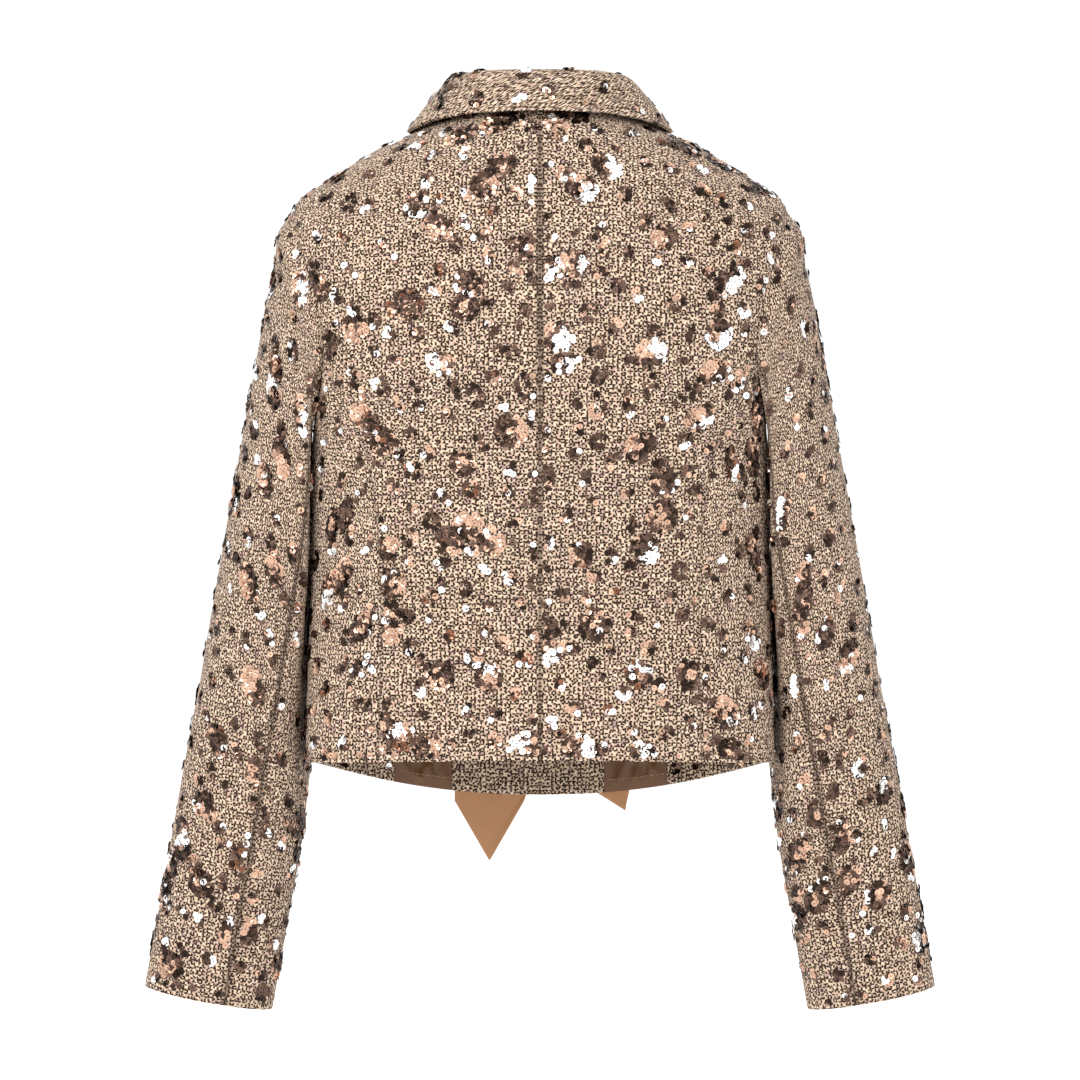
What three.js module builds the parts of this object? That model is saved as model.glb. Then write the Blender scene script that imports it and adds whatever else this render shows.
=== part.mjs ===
// A cropped tweed blazer with the hollow form it has when it is worn. Its back faces -Y.
// Sizes are millimetres and +Z is up. The origin is the middle of the neck, level with the
// lower edge of the collar's stand at the back.
import * as THREE from 'three';

// Cloth
const TWEED = 2.4;
const COLLAR_CLOTH = 3;
const SATIN = 1.2;
const SEAM_GAP = 0.3;
const LAY_GAP = 0.4;

// Rings round the body, from the hem up to the neck seam. zBack, zSide and zFront are heights at
// the centre back, the side and the centre front. half is half of the ring's width, back and
// front are its depths, and round is the power of its superellipse, where 2 is an ellipse.
const RINGS = [
  { at: 'hem', zBack: -490, zSide: -494, zFront: -524, half: 183, back: 84, front: 87, round: 2.3 },
  { at: 'high hip', zBack: -445, zSide: -447, zFront: -466, half: 182, back: 81, front: 86, round: 2.3 },
  { at: 'waist', zBack: -385, zSide: -386, zFront: -395, half: 180, back: 80, front: 90, round: 2.3 },
  { at: 'under bust', zBack: -320, zSide: -320, zFront: -322, half: 179, back: 86, front: 102, round: 2.35 },
  { at: 'underarm', zBack: -255, zSide: -255, zFront: -254, half: 180, back: 92, front: 114, round: 2.4 },
  { at: 'low armhole', zBack: -215, zSide: -215, zFront: -212, half: 185, back: 95, front: 112, round: 2.4 },
  { at: 'mid armhole', zBack: -173, zSide: -173, zFront: -168, half: 189, back: 96, front: 104, round: 2.4 },
  { at: 'high armhole', zBack: -130, zSide: -128, zFront: -126, half: 197, back: 95, front: 94, round: 2.35 },
  { at: 'sleeve head', zBack: -98, zSide: -90, zFront: -92, half: 200, back: 92, front: 84, round: 2.3 },
  { at: 'shoulder tip', zBack: -70, zSide: -62, zFront: -66, half: 192, back: 85, front: 74, round: 2.15 },
  { at: 'mid shoulder', zBack: -38, zSide: -38, zFront: -40, half: 160, back: 79, front: 66, round: 2.3 },
  { at: 'inner shoulder', zBack: -10, zSide: -16, zFront: -16, half: 125, back: 71, front: 58, round: 2.15 },
  { at: 'neck base', zBack: 7, zSide: -1, zFront: 0, half: 92, back: 63, front: 52, round: 2.1 },
  { at: 'neck seam', zBack: 14, zSide: 12, zFront: 10, half: 70, back: 58, front: 47, round: 2 },
];
const HEM_SMILE = 2.2;
const TIP_RING = 9;
const NECK_RING = RINGS.length - 1;

// Armhole: an upright oval cut in the side of the rings
const ARMHOLE_TOP = -62;
const ARMHOLE_FOOT = -255;
const ARMHOLE_HALF = 54;
const ARMHOLE_STEP = 15;
const UNDERARM_STEP = 7.5;
const PRINCESS_TURN = 105;

// Long seams, as the distance from the centre seam at each ring below the armhole
const BACK_PRINCESS = [125, 124, 123, 125, 134, 153];
const FRONT_PRINCESS = [112, 110, 108, 110, 127, 153];
const FRONT_EDGE = 0;
const ROLL_CURVE = 1.25;
const LAPEL_BREAK = -200;
const ROLL_TOP_ANGLE = 138;

// Rings at which a panel below the armhole has a row of points, and rows above the shoulder tip
const BODY_ROWS = [0, 0.5, 1, 1.5, 2, 2.5, 3, 3.5, 4, 4.5, 5];
const SHOULDER_ROWS = [9.5, 10, 10.5, 11, 11.5, 12, 12.5, 13];
const CENTRE_COLUMNS = 8;

// Sleeve: a tube that swings out and forward. Each row gives its girth's half width and half depth
// at a height on the centre line.
const SLEEVE = [
  { z: -100, half: 51, depth: 54 },
  { z: -240, half: 51.4, depth: 56 },
  { z: -330, half: 51.4, depth: 55 },
  { z: -430, half: 51, depth: 49 },
  { z: -540, half: 51.4, depth: 43 },
  { z: -681, half: 51.4, depth: 32 },
];
const SLEEVE_SPREAD = 0.1817;
const SLEEVE_FORWARD = 0.095;
const SLEEVE_CENTRE = { x: 228.5, z: -508.6, yStart: -160 };
const CUFF_Z = -681;
const SLEEVE_ROWS = 20;
const HEAD_LENGTH = 80;
const UNDERARM_LENGTH = 170;
const HEAD_BLEND = 22;
const FOLDS_BELOW_HEAD = 30;
const FOLDS_ABOVE_CUFF = 40;
const CLEAR_BELOW_HEM = 60;
const BODY_CLEARANCE = 3.6;
const SOFT_CONTACT = 7;
const EASE_ROUNDS = 5;
const EASE_ROWS = 3;
const BACK_SLEEVE_SEAM = 105;
const FRONT_SLEEVE_SEAM = -120;

// Folds of the sleeves: turn is the place round the tube, 0 at the outside and 90 at the back,
// run is how far the fold leans round the tube for each millimetre down
const SLEEVE_FOLDS = [
  { turn: 138, z: -285, run: -0.06, wide: 22, long: 52, deep: 6 },
  { turn: 218, z: -268, run: 0.06, wide: 22, long: 56, deep: 5 },
  { turn: 74, z: -300, run: -0.16, wide: 14, long: 46, deep: 2.6 },
  { turn: 150, z: -415, run: 0.5, wide: 30, long: 13, deep: 3 },
  { turn: 205, z: -446, run: -0.5, wide: 34, long: 13, deep: 3.2 },
  { turn: 262, z: -398, run: 0.4, wide: 26, long: 15, deep: 2.4 },
];

// Collar: at each angle round the neck, the stand's height, and how far out and how high above
// the neck seam the lower edge of the fall lies
const COLLAR = [
  { angle: 0, stand: 26, out: 14, edge: -2 },
  { angle: 40, stand: 26, out: 17, edge: -3 },
  { angle: 64, stand: 24, out: 25, edge: -7 },
  { angle: 90, stand: 16, out: 34, edge: -14.4 },
  { angle: 115, stand: 11, out: 36, edge: -16 },
  { angle: 138, stand: 7, out: 38, edge: -31 },
];
const COLLAR_COLUMNS = 26;
const NECK_STEP = 0.5;
const STAND_LEAN = [
  { share: 0, away: 0 },
  { share: 0.5, away: -0.8 },
  { share: 1, away: -1 },
];
const FALL_TURN = [
  { away: -2.2, above: 0.6 },
  { away: -0.6, above: 3.2 },
  { away: 3.4, above: 3.6 },
  { away: 8, above: 0.6 },
];
const FALL_SLOPE = [
  { share: 0.33, swell: 0.7 },
  { share: 0.66, swell: 0.6 },
  { share: 1, swell: 0 },
];

// Lapel: its width at each share of the way from the break up to its top, and its sloping top
const LAPEL = [
  { up: 0, wide: 3 },
  { up: 0.35, wide: 30 },
  { up: 0.75, wide: 58 },
  { up: 1, wide: 62 },
];
const LAPEL_TOP_INNER = -44;
const LAPEL_TOP_OUTER = -74;
const LAPEL_TOP_ANGLE = 150;
const LAPEL_START = 0.1;
const LAPEL_ROWS = 10;
const LAPEL_COLUMNS = 5;

// Inside of the front hem, where it shows below the back hem. Each strip runs between two
// distances from the centre front.
const INSIDE_HEIGHT = 58;
const INSIDE_STRIPS = [
  { name: 'front_facing_left', side: -1, from: 0, to: 70, cloth: 1.6, colour: 'tweed' },
  { name: 'front_lining_left', side: -1, from: 70, to: 116, cloth: 1, colour: 'lining' },
  { name: 'hem_turnup_left', side: -1, from: 116, to: 172, cloth: 1.6, colour: 'tweed' },
  { name: 'front_facing_right', side: 1, from: 0, to: 51, cloth: 1.6, colour: 'tweed' },
  { name: 'front_lining_right', side: 1, from: 51, to: 101, cloth: 1, colour: 'lining' },
  { name: 'hem_turnup_right', side: 1, from: 101, to: 172, cloth: 1.6, colour: 'tweed' },
];
const STRIP_COLUMNS = 6;
const STRIP_ROWS = 3;

// Bow of satin ribbon at the centre front
const KNOT = { z: -300, wide: 26, high: 36, thick: 16 };
const RIBBON_WIDE = 62;
const RIBBON_GATHER = 22;
const RIBBON_FLARE = 0.45;
const LOOP = { reach: 92, droop: 20, open: 13, root: 3.2, bulge: 0.55 };
const LOOP_STEPS = 18;
const LOOP_COLUMNS = 5;
const BOW_MIDDLE = LAY_GAP + KNOT.thick / 2;

// Tails of the bow: where the cut end hangs, the length of its point or slant, and which ply it is
const TAILS = [
  { name: 'ribbon_tail_long', x: -40, low: -577, point: 48, slant: 0, ply: 0 },
  { name: 'ribbon_tail_short', x: 40, low: -537, point: 0, slant: 34, ply: 1 },
];
const TAIL_ROOT = 5;
const TAIL_FLARE = 0.28;
const TAIL_SPREAD = 0.9;
const TAIL_ROWS = 16;
const TAIL_COLUMNS = 4;
const TAIL_CREASE = 2.2;
const TAIL_PLY = 3.8;
const TAIL_DROP = 0.16;

const COLOURS = {
  tweed: new THREE.MeshStandardMaterial({ color: 0xb49a80, roughness: 0.95, metalness: 0 }),
  lining: new THREE.MeshStandardMaterial({ color: 0x775e4f, roughness: 0.45, metalness: 0 }),
  ribbon: new THREE.MeshStandardMaterial({ color: 0xb38c6e, roughness: 0.4, metalness: 0 }),
};

const radians = THREE.MathUtils.degToRad;
const mix = THREE.MathUtils.lerp;
const power = (base, exponent) => Math.pow(Math.max(base, 0), exponent);
const smooth = (x, low, high) => THREE.MathUtils.smoothstep(x, low, high);

// Value at a place between evenly spaced values, on a curve through them that never overshoots
function through(values, place) {
  const last = values.length - 1;
  const at = Math.min(Math.max(place, 0), last);
  const i = Math.min(Math.floor(at), last - 1);
  const u = at - i;
  const slope = (k) => {
    if (k === 0 || k === last) {
      const near = k === 0 ? 0 : last - 1;
      return values[near + 1] - values[near];
    }
    const before = values[k] - values[k - 1];
    const after = values[k + 1] - values[k];
    return before * after <= 0 ? 0 : (2 * before * after) / (before + after);
  };
  const rise = values[i + 1] - values[i];
  const a = slope(i);
  const b = slope(i + 1);
  return values[i] + u * a + u * u * (3 * rise - 2 * a - b) + u * u * u * (a + b - 2 * rise);
}

const column = (rows, name) => rows.map((row) => row[name]);
const RING_COLUMNS = Object.fromEntries(
  Object.keys(RINGS[0]).filter((name) => name !== 'at').map((name) => [name, column(RINGS, name)]),
);

// Value in a table whose rows stand at uneven places, read along straight lines
function alongTable(rows, key, name, place) {
  const rising = rows[rows.length - 1][key] > rows[0][key];
  const ahead = rows.findIndex((row) => (rising ? row[key] >= place : row[key] <= place));
  if (ahead <= 0) return rows[ahead === 0 ? 0 : rows.length - 1][name];
  const a = rows[ahead - 1];
  const b = rows[ahead];
  return mix(a[name], b[name], (place - a[key]) / (b[key] - a[key]));
}

// Point on the body at a ring and an angle: 0 is the centre back, 90 the side, 180 the front
function bodyPoint(ring, angle) {
  const at = Object.fromEntries(
    Object.entries(RING_COLUMNS).map(([name, values]) => [name, through(values, ring)]),
  );
  const turn = radians(angle);
  const cosine = Math.cos(turn);
  const x = at.half * power(Math.sin(turn), 2 / at.round);
  const depth = cosine > 0 ? -at.back : at.front;
  const y = depth * power(Math.abs(cosine), 2 / at.round);
  const middle = cosine > 0 ? at.zBack : at.zFront;
  const z = mix(middle, at.zSide, power(x / at.half, HEM_SMILE));
  return new THREE.Vector3(x, y, z);
}

// Angle at which a ring is a given distance from the centre seam, at the back or the front
function angleAcross(ring, across, front) {
  const half = through(RING_COLUMNS.half, ring);
  const round = through(RING_COLUMNS.round, ring);
  const turn = THREE.MathUtils.radToDeg(Math.asin(power(across / half, round / 2)));
  return front ? 180 - turn : turn;
}

// Root of a rising or falling function between two limits
function solve(wanted, low, high, valueAt) {
  const rising = valueAt(high) > valueAt(low);
  let a = low;
  let b = high;
  for (let i = 0; i < 50; i += 1) {
    const middle = (a + b) / 2;
    if (valueAt(middle) < wanted === rising) a = middle;
    else b = middle;
  }
  return (a + b) / 2;
}

// Place on the body where the armhole's oval has turned by a number of degrees from its top,
// towards the back up to 180 and on round the front up to 360
function armholePlace(turn) {
  const back = turn <= 180;
  const centre = (ARMHOLE_TOP + ARMHOLE_FOOT) / 2;
  const wantedZ = centre + (ARMHOLE_TOP - centre) * Math.cos(radians(turn));
  const wantedY = ARMHOLE_HALF * Math.abs(Math.sin(radians(turn)));
  const angleOn = (ring) => {
    const depth = through(back ? RING_COLUMNS.back : RING_COLUMNS.front, ring);
    const round = through(RING_COLUMNS.round, ring);
    const own = THREE.MathUtils.radToDeg(Math.acos(power(wantedY / depth, round / 2)));
    return back ? own : 180 - own;
  };
  const ring = solve(wantedZ, 3, TIP_RING, (r) => bodyPoint(r, angleOn(r)).z);
  return { ring, angle: angleOn(ring) };
}

// Grid of points on one body panel, from place(row, column) giving a ring and an angle
function bodyGrid(rows, columns, place) {
  return Array.from({ length: rows }, (_, i) =>
    Array.from({ length: columns }, (__, j) => {
      const { ring, angle } = place(i, j);
      return bodyPoint(ring, angle);
    }),
  );
}

// Rings of the rows of a centre panel: body, armhole and shoulder
const turnsUpArmhole = [];
for (let turn = PRINCESS_TURN; turn >= 0; turn -= ARMHOLE_STEP) turnsUpArmhole.push(turn);

function centreRows(front) {
  const mirrored = (turn) => (front ? 360 - turn : turn);
  const junction = armholePlace(mirrored(PRINCESS_TURN));
  const seam = front ? FRONT_PRINCESS : BACK_PRINCESS;
  const lower = BODY_ROWS.map((ring) => ({
    ring,
    outer: angleAcross(ring, through(seam, ring), front),
  }));
  const upper = turnsUpArmhole.map((turn) => {
    const { ring, angle } = armholePlace(mirrored(turn));
    return { ring, outer: angle };
  });
  const shoulder = SHOULDER_ROWS.map((ring) => ({ ring, outer: 90 }));
  return { junction, rows: [...lower, ...upper, ...shoulder] };
}

// Angle of the front edge: the centre front up to the break, then the roll line to the neck
const breakRing = solve(LAPEL_BREAK, 3, 8, (ring) => through(RING_COLUMNS.zFront, ring));

function frontEdge(ring) {
  const straight = angleAcross(ring, FRONT_EDGE, true);
  const up = Math.max(0, (ring - breakRing) / (NECK_RING - breakRing));
  return mix(straight, ROLL_TOP_ANGLE, Math.pow(up, ROLL_CURVE));
}

function centrePanel(front) {
  const { rows } = centreRows(front);
  return bodyGrid(rows.length, CENTRE_COLUMNS + 1, (i, j) => {
    const inner = front ? frontEdge(rows[i].ring) : 0;
    return { ring: rows[i].ring, angle: mix(inner, rows[i].outer, j / CENTRE_COLUMNS) };
  });
}

// Panel between the princess seam and the side seam, up to the lower part of the armhole
function sidePanel(front) {
  const seam = front ? FRONT_PRINCESS : BACK_PRINCESS;
  const { junction } = centreRows(front);
  const lower = [...BODY_ROWS, junction.ring];
  const columns = (180 - PRINCESS_TURN) / UNDERARM_STEP;
  const seamAngle = (ring) => {
    const low = Math.min(ring, BODY_ROWS[BODY_ROWS.length - 1]);
    const own = angleAcross(low, through(seam, low), front);
    const over = (ring - low) / (junction.ring - BODY_ROWS[BODY_ROWS.length - 1]);
    return mix(own, junction.angle, over);
  };
  return bodyGrid(lower.length, columns + 1, (i, j) => {
    const turn = PRINCESS_TURN + j * UNDERARM_STEP;
    const top = armholePlace(front ? 360 - turn : turn);
    const ring = (lower[i] * top.ring) / junction.ring;
    const across = (r) => mix(seamAngle((r * junction.ring) / top.ring), 90, j / columns);
    const lift = Math.pow(i / (lower.length - 1), 3);
    return { ring, angle: across(ring) + (top.angle - across(top.ring)) * lift };
  });
}

// Outline of the body at a height, as the half width at a distance y from the side seam
function bodyHalfAt(y, z) {
  const ring = solve(z, 0, TIP_RING, (r) => through(RING_COLUMNS.zSide, r));
  const depth = through(y < 0 ? RING_COLUMNS.back : RING_COLUMNS.front, ring) + BODY_CLEARANCE;
  const round = through(RING_COLUMNS.round, ring);
  const half = through(RING_COLUMNS.half, ring) + BODY_CLEARANCE;
  return half * power(1 - power(Math.abs(y) / depth, round), 1 / round);
}

const sleeveAxis = new THREE.Vector3(SLEEVE_SPREAD, SLEEVE_FORWARD, -1).normalize();
const sleeveOut = new THREE.Vector3(1, 0, SLEEVE_SPREAD).normalize();
const sleeveBack = new THREE.Vector3().crossVectors(sleeveAxis, sleeveOut).normalize();
const sleeveFoot = new THREE.Vector3(
  SLEEVE_CENTRE.x + SLEEVE_SPREAD * (SLEEVE_CENTRE.z - CUFF_Z),
  SLEEVE_FORWARD * (SLEEVE_CENTRE.yStart - CUFF_Z),
  CUFF_Z,
);

// Point on the plain tube of the sleeve, at a distance up the centre line from the cuff
function tubePoint(up, turn) {
  const centre = sleeveFoot.clone().addScaledVector(sleeveAxis, -up);
  centre.y = Math.max(centre.y, 0);
  const half = alongTable(SLEEVE, 'z', 'half', centre.z);
  const depth = alongTable(SLEEVE, 'z', 'depth', centre.z);
  return centre
    .addScaledVector(sleeveOut, half * Math.cos(radians(turn)))
    .addScaledVector(sleeveBack, depth * Math.sin(radians(turn)));
}

function sleeveFoldDepth(turn, z) {
  return SLEEVE_FOLDS.reduce((sum, fold) => {
    const place = fold.turn + fold.run * (fold.z - z);
    let round = (((turn - place) % 360) + 360) % 360;
    if (round > 180) round -= 360;
    const across = round / fold.wide;
    const along = (z - fold.z) / fold.long;
    return sum + fold.deep * Math.exp(-(across * across + along * along));
  }, 0);
}

// Point on the worn sleeve: it starts on the armhole, takes up the tube and lies off the body
function sleevePoint(turn, down) {
  const whole = ((turn % 360) + 360) % 360;
  const place = armholePlace(whole);
  const start = bodyPoint(place.ring, place.angle);
  const startUp = sleeveFoot.clone().sub(start).dot(sleeveAxis);
  const up = startUp * (1 - down);
  const point = tubePoint(up, whole);
  const under = (1 - Math.cos(radians(whole))) / 2;
  const fadeLength = mix(HEAD_LENGTH, UNDERARM_LENGTH, under);
  const gone = startUp - up;
  const held = 1 - smooth(gone, 0, fadeLength);
  point.addScaledVector(start.clone().sub(tubePoint(startUp, whole)), held);
  const inward = new THREE.Vector3()
    .addScaledVector(sleeveOut, -Math.cos(radians(whole)))
    .addScaledVector(sleeveBack, -Math.sin(radians(whole)));
  const free = smooth(gone, 0, FOLDS_BELOW_HEAD) * (1 - smooth(gone, startUp - FOLDS_ABOVE_CUFF, startUp));
  point.addScaledVector(inward, sleeveFoldDepth(whole, point.z) * free);
  const wall = bodyHalfAt(point.y, Math.max(point.z, RINGS[0].zSide));
  const clear = 1 - smooth(RINGS[0].zFront - point.z, 0, CLEAR_BELOW_HEM);
  const gap = point.x - wall;
  const pressed = wall + (gap + Math.sqrt(gap * gap + SOFT_CONTACT * SOFT_CONTACT)) / 2;
  point.x = mix(point.x, pressed, smooth(gone, 0, HEAD_BLEND) * clear);
  return point;
}

// Direction of a run of points at one of them, true to the curve at its ends too
function direction(points, k) {
  const last = points.length - 1;
  if (k > 0 && k < last) return points[k + 1].clone().sub(points[k - 1]);
  if (last < 2) return points[last].clone().sub(points[0]);
  const [near, next, far] = k === 0 ? [0, 1, 2] : [last, last - 1, last - 2];
  const ahead = points[next].clone().multiplyScalar(4)
    .addScaledVector(points[near], -3).addScaledVector(points[far], -1);
  return k === 0 ? ahead : ahead.negate();
}

// Places round the armhole at which the body and the sleeve both have a point
const sleeveTurns = [];
for (let turn = FRONT_SLEEVE_SEAM; turn < FRONT_SLEEVE_SEAM + 360;) {
  sleeveTurns.push(turn);
  const under = turn >= PRINCESS_TURN && turn < 360 - PRINCESS_TURN;
  turn += under || turn < -PRINCESS_TURN ? UNDERARM_STEP : ARMHOLE_STEP;
}

// One section of the sleeve with the tight turns beside the body eased
function easedSection(row, amount) {
  const count = row.length;
  return row.map((point, j) => {
    const under = smooth(-Math.cos(radians(sleeveTurns[j])), -0.5, 0.1);
    const middle = row[(j + 1) % count].clone().add(row[(j + count - 1) % count]).multiplyScalar(0.5);
    return point.clone().lerp(middle, 0.5 * amount * under);
  });
}

// The whole sleeve as a skin of points and normals, closed round its tube
function sleeveSkin() {
  const points = Array.from({ length: SLEEVE_ROWS + 1 }, (_, i) => {
    const share = i / SLEEVE_ROWS;
    const down = 0.5 * share + 0.5 * share * share;
    let row = sleeveTurns.map((turn) => sleevePoint(turn, down));
    for (let k = 0; k < EASE_ROUNDS; k += 1) row = easedSection(row, Math.min(i / EASE_ROWS, 1));
    return row;
  });
  const count = sleeveTurns.length;
  const normals = points.map((row, i) => row.map((_, j) => {
    const across = row[(j + 1) % count].clone().sub(row[(j + count - 1) % count]);
    return across.cross(direction(points.map((r) => r[j]), i)).normalize();
  }));
  return { points, normals };
}

function cutSleeve(skin, fromTurn, toTurn) {
  const wanted = sleeveTurns.flatMap((turn, j) => (turn >= fromTurn && turn <= toTurn ? [j] : []));
  if (toTurn === FRONT_SLEEVE_SEAM + 360) wanted.push(0);
  const cut = (rows) => rows.map((row) => wanted.map((j) => row[j]));
  return { points: cut(skin.points), normals: cut(skin.normals) };
}

// Place round the neck seam with the direction that points straight out from it
function neckPlace(angle) {
  const side = angle < 0 ? -1 : 1;
  const at = (a) => {
    const point = bodyPoint(NECK_RING, Math.abs(a));
    point.x *= side;
    return point;
  };
  const point = at(angle);
  const ahead = at(angle + side * NECK_STEP);
  const behind = Math.abs(angle) < NECK_STEP
    ? new THREE.Vector3(-ahead.x, ahead.y, ahead.z)
    : at(angle - side * NECK_STEP);
  const along = ahead.sub(behind).setZ(0).normalize().multiplyScalar(side);
  return { point, out: new THREE.Vector3(-along.y, along.x, 0).negate() };
}

function collarGrid(profile) {
  const end = COLLAR[COLLAR.length - 1].angle;
  const columns = Array.from({ length: COLLAR_COLUMNS + 1 }, (_, j) => {
    const angle = mix(-end, end, j / COLLAR_COLUMNS);
    const { point, out } = neckPlace(angle);
    const at = (name) => alongTable(COLLAR, 'angle', name, Math.abs(angle));
    return profile(at('stand'), at('out'), at('edge')).map(([away, high]) =>
      point.clone().addScaledVector(out, away).add(new THREE.Vector3(0, 0, high)));
  });
  return columns[0].map((_, i) => columns.map((points) => points[i]));
}

const standProfile = (stand) =>
  STAND_LEAN.map(({ share, away }) => [away, mix(SEAM_GAP, stand, share)]);

// The fall turns over the top of the stand and slopes down to its edge
function fallProfile(stand, out, edge) {
  const turn = FALL_TURN.map(({ away, above }) => [away, stand + above]);
  const [bendOut, bendHigh] = turn[turn.length - 1];
  const slope = FALL_SLOPE.map(({ share, swell }) => [
    mix(bendOut, out, share) + swell,
    mix(bendHigh, edge, share) + swell,
  ]);
  return [...turn, ...slope];
}

// Normal of a grid at one of its points, by the right hand rule from columns to rows
function gridNormal(grid, i, j) {
  const across = direction(grid[i], j);
  const down = direction(grid.map((row) => row[j]), i);
  return across.cross(down).normalize();
}

const gridNormals = (grid) => grid.map((row, i) => row.map((_, j) => gridNormal(grid, i, j)));

// Same grid with every point moved along its normal
function movedOut(grid, distance, normals = gridNormals(grid)) {
  return grid.map((row, i) =>
    row.map((point, j) => point.clone().addScaledVector(normals[i][j], distance)));
}

// Same grid drawn back from its edges by half of the seam gap
function drawnBack(grid) {
  const rows = grid.length;
  const columns = grid[0].length;
  const towards = (from, to) => to.clone().sub(from).setLength(SEAM_GAP / 2);
  const moves = grid.map((row, i) => row.map((point, j) => {
    const move = new THREE.Vector3();
    if (i === 0) move.add(towards(point, grid[1][j]));
    if (i === rows - 1) move.add(towards(point, grid[rows - 2][j]));
    if (j === 0) move.add(towards(point, row[1]));
    if (j === columns - 1) move.add(towards(point, row[columns - 2]));
    return move;
  }));
  return grid.map((row, i) => row.map((point, j) => point.clone().add(moves[i][j])));
}

const mirroredGrid = (grid) => grid.map((row) => row.map((p) => new THREE.Vector3(-p.x, p.y, p.z)));

// Closed wall of cloth whose outer face is the grid. The outer face looks along the grid's
// normals, or against them where outside is -1.
function wall(grid, thickness, outside, normals = gridNormals(grid)) {
  const rows = grid.length;
  const columns = grid[0].length;
  const inner = movedOut(grid, -outside * thickness, normals);
  const positions = [...grid.flat(), ...inner.flat()].flatMap((p) => [p.x, p.y, p.z]);
  const place = (i, j, layer) => layer * rows * columns + i * columns + j;
  const triangles = [];
  const quad = (a, b, c, d) => {
    if (outside > 0) triangles.push(a, b, c, a, c, d);
    else triangles.push(a, c, b, a, d, c);
  };
  for (let i = 0; i < rows - 1; i += 1) {
    for (let j = 0; j < columns - 1; j += 1) {
      const corners = (layer) => [
        place(i, j, layer), place(i, j + 1, layer), place(i + 1, j + 1, layer), place(i + 1, j, layer),
      ];
      quad(...corners(0));
      quad(...corners(1).reverse());
    }
  }
  for (let j = 0; j < columns - 1; j += 1) {
    quad(place(0, j + 1, 0), place(0, j, 0), place(0, j, 1), place(0, j + 1, 1));
    const last = rows - 1;
    quad(place(last, j + 1, 0), place(last, j + 1, 1), place(last, j, 1), place(last, j, 0));
  }
  for (let i = 0; i < rows - 1; i += 1) {
    quad(place(i + 1, 0, 0), place(i + 1, 0, 1), place(i, 0, 1), place(i, 0, 0));
    const last = columns - 1;
    quad(place(i + 1, last, 0), place(i, last, 0), place(i, last, 1), place(i + 1, last, 1));
  }
  const geometry = new THREE.BufferGeometry();
  geometry.setAttribute('position', new THREE.Float32BufferAttribute(positions, 3));
  geometry.setIndex(triangles);
  geometry.computeVertexNormals();
  return geometry;
}

const blazer = new THREE.Group();

function addPiece(name, geometry, colour) {
  const mesh = new THREE.Mesh(geometry, COLOURS[colour].clone());
  mesh.name = name;
  blazer.add(mesh);
}

// A piece and its twin: the grid is the right one, at +X
function addPair(name, grid, thickness, outside, colour, normals = gridNormals(grid)) {
  addPiece(`${name}_right`, wall(grid, thickness, outside, normals), colour);
  const turned = mirroredGrid(normals).map((row) => row.map((normal) => normal.negate()));
  addPiece(`${name}_left`, wall(mirroredGrid(grid), thickness, -outside, turned), colour);
}

function addBody() {
  addPair('back_centre', drawnBack(centrePanel(false)), TWEED, 1, 'tweed');
  addPair('back_side', drawnBack(sidePanel(false)), TWEED, 1, 'tweed');
  addPair('front_centre', drawnBack(centrePanel(true)), TWEED, -1, 'tweed');
  addPair('front_side', drawnBack(sidePanel(true)), TWEED, -1, 'tweed');
}

function addSleeves() {
  const skin = sleeveSkin();
  const top = cutSleeve(skin, FRONT_SLEEVE_SEAM, BACK_SLEEVE_SEAM);
  const under = cutSleeve(skin, BACK_SLEEVE_SEAM, FRONT_SLEEVE_SEAM + 360);
  addPair('sleeve_top', drawnBack(top.points), TWEED, 1, 'tweed', top.normals);
  addPair('sleeve_under', drawnBack(under.points), TWEED, 1, 'tweed', under.normals);
}

function addCollar() {
  addPiece('collar_stand', wall(collarGrid(standProfile), TWEED, 1), 'tweed');
  addPiece('collar_fall', wall(collarGrid(fallProfile), COLLAR_CLOTH, -1), 'tweed');
}

// The lapel lies on the front, out from the roll line
function lapelGrid() {
  const topRing = (height) =>
    solve(height, breakRing, NECK_RING, (r) => bodyPoint(r, LAPEL_TOP_ANGLE).z);
  const innerTop = topRing(LAPEL_TOP_INNER);
  const outerTop = topRing(LAPEL_TOP_OUTER);
  return bodyGrid(LAPEL_ROWS + 1, LAPEL_COLUMNS + 1, (i, j) => {
    const up = i / LAPEL_ROWS;
    const out = j / LAPEL_COLUMNS;
    const ring = mix(breakRing + LAPEL_START, mix(innerTop, outerTop, out), up);
    const inner = frontEdge(ring);
    const wide = alongTable(LAPEL, 'up', 'wide', up) * out;
    const across = bodyPoint(ring, inner).x + wide;
    return { ring, angle: angleAcross(ring, across, true) };
  });
}

function addLapels() {
  const lifted = movedOut(drawnBack(lapelGrid()), -(LAY_GAP + TWEED));
  addPair('lapel', lifted, TWEED, -1, 'tweed');
}

// Strips inside the front hem, which lie against the inner face of the front
function addInside() {
  const topRing = solve(
    RINGS[0].zFront + INSIDE_HEIGHT, 0, 3, (r) => through(RING_COLUMNS.zFront, r));
  INSIDE_STRIPS.forEach(({ name, side, from, to, cloth, colour }) => {
    const grid = bodyGrid(STRIP_ROWS + 1, STRIP_COLUMNS + 1, (i, j) => {
      const ring = (topRing * i) / STRIP_ROWS;
      return { ring, angle: angleAcross(ring, mix(from, to, j / STRIP_COLUMNS), true) };
    });
    const laid = movedOut(drawnBack(grid), TWEED + LAY_GAP);
    const own = side > 0 ? laid : mirroredGrid(laid);
    addPiece(name, wall(own, cloth, -side), colour);
  });
}

// Height of the front's outer face above y = 0 at a place seen from the front
function frontFace(x, z) {
  const ring = solve(z, 0, TIP_RING, (r) => bodyPoint(r, angleAcross(r, Math.abs(x), true)).z);
  return bodyPoint(ring, angleAcross(ring, Math.abs(x), true)).y;
}

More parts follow.
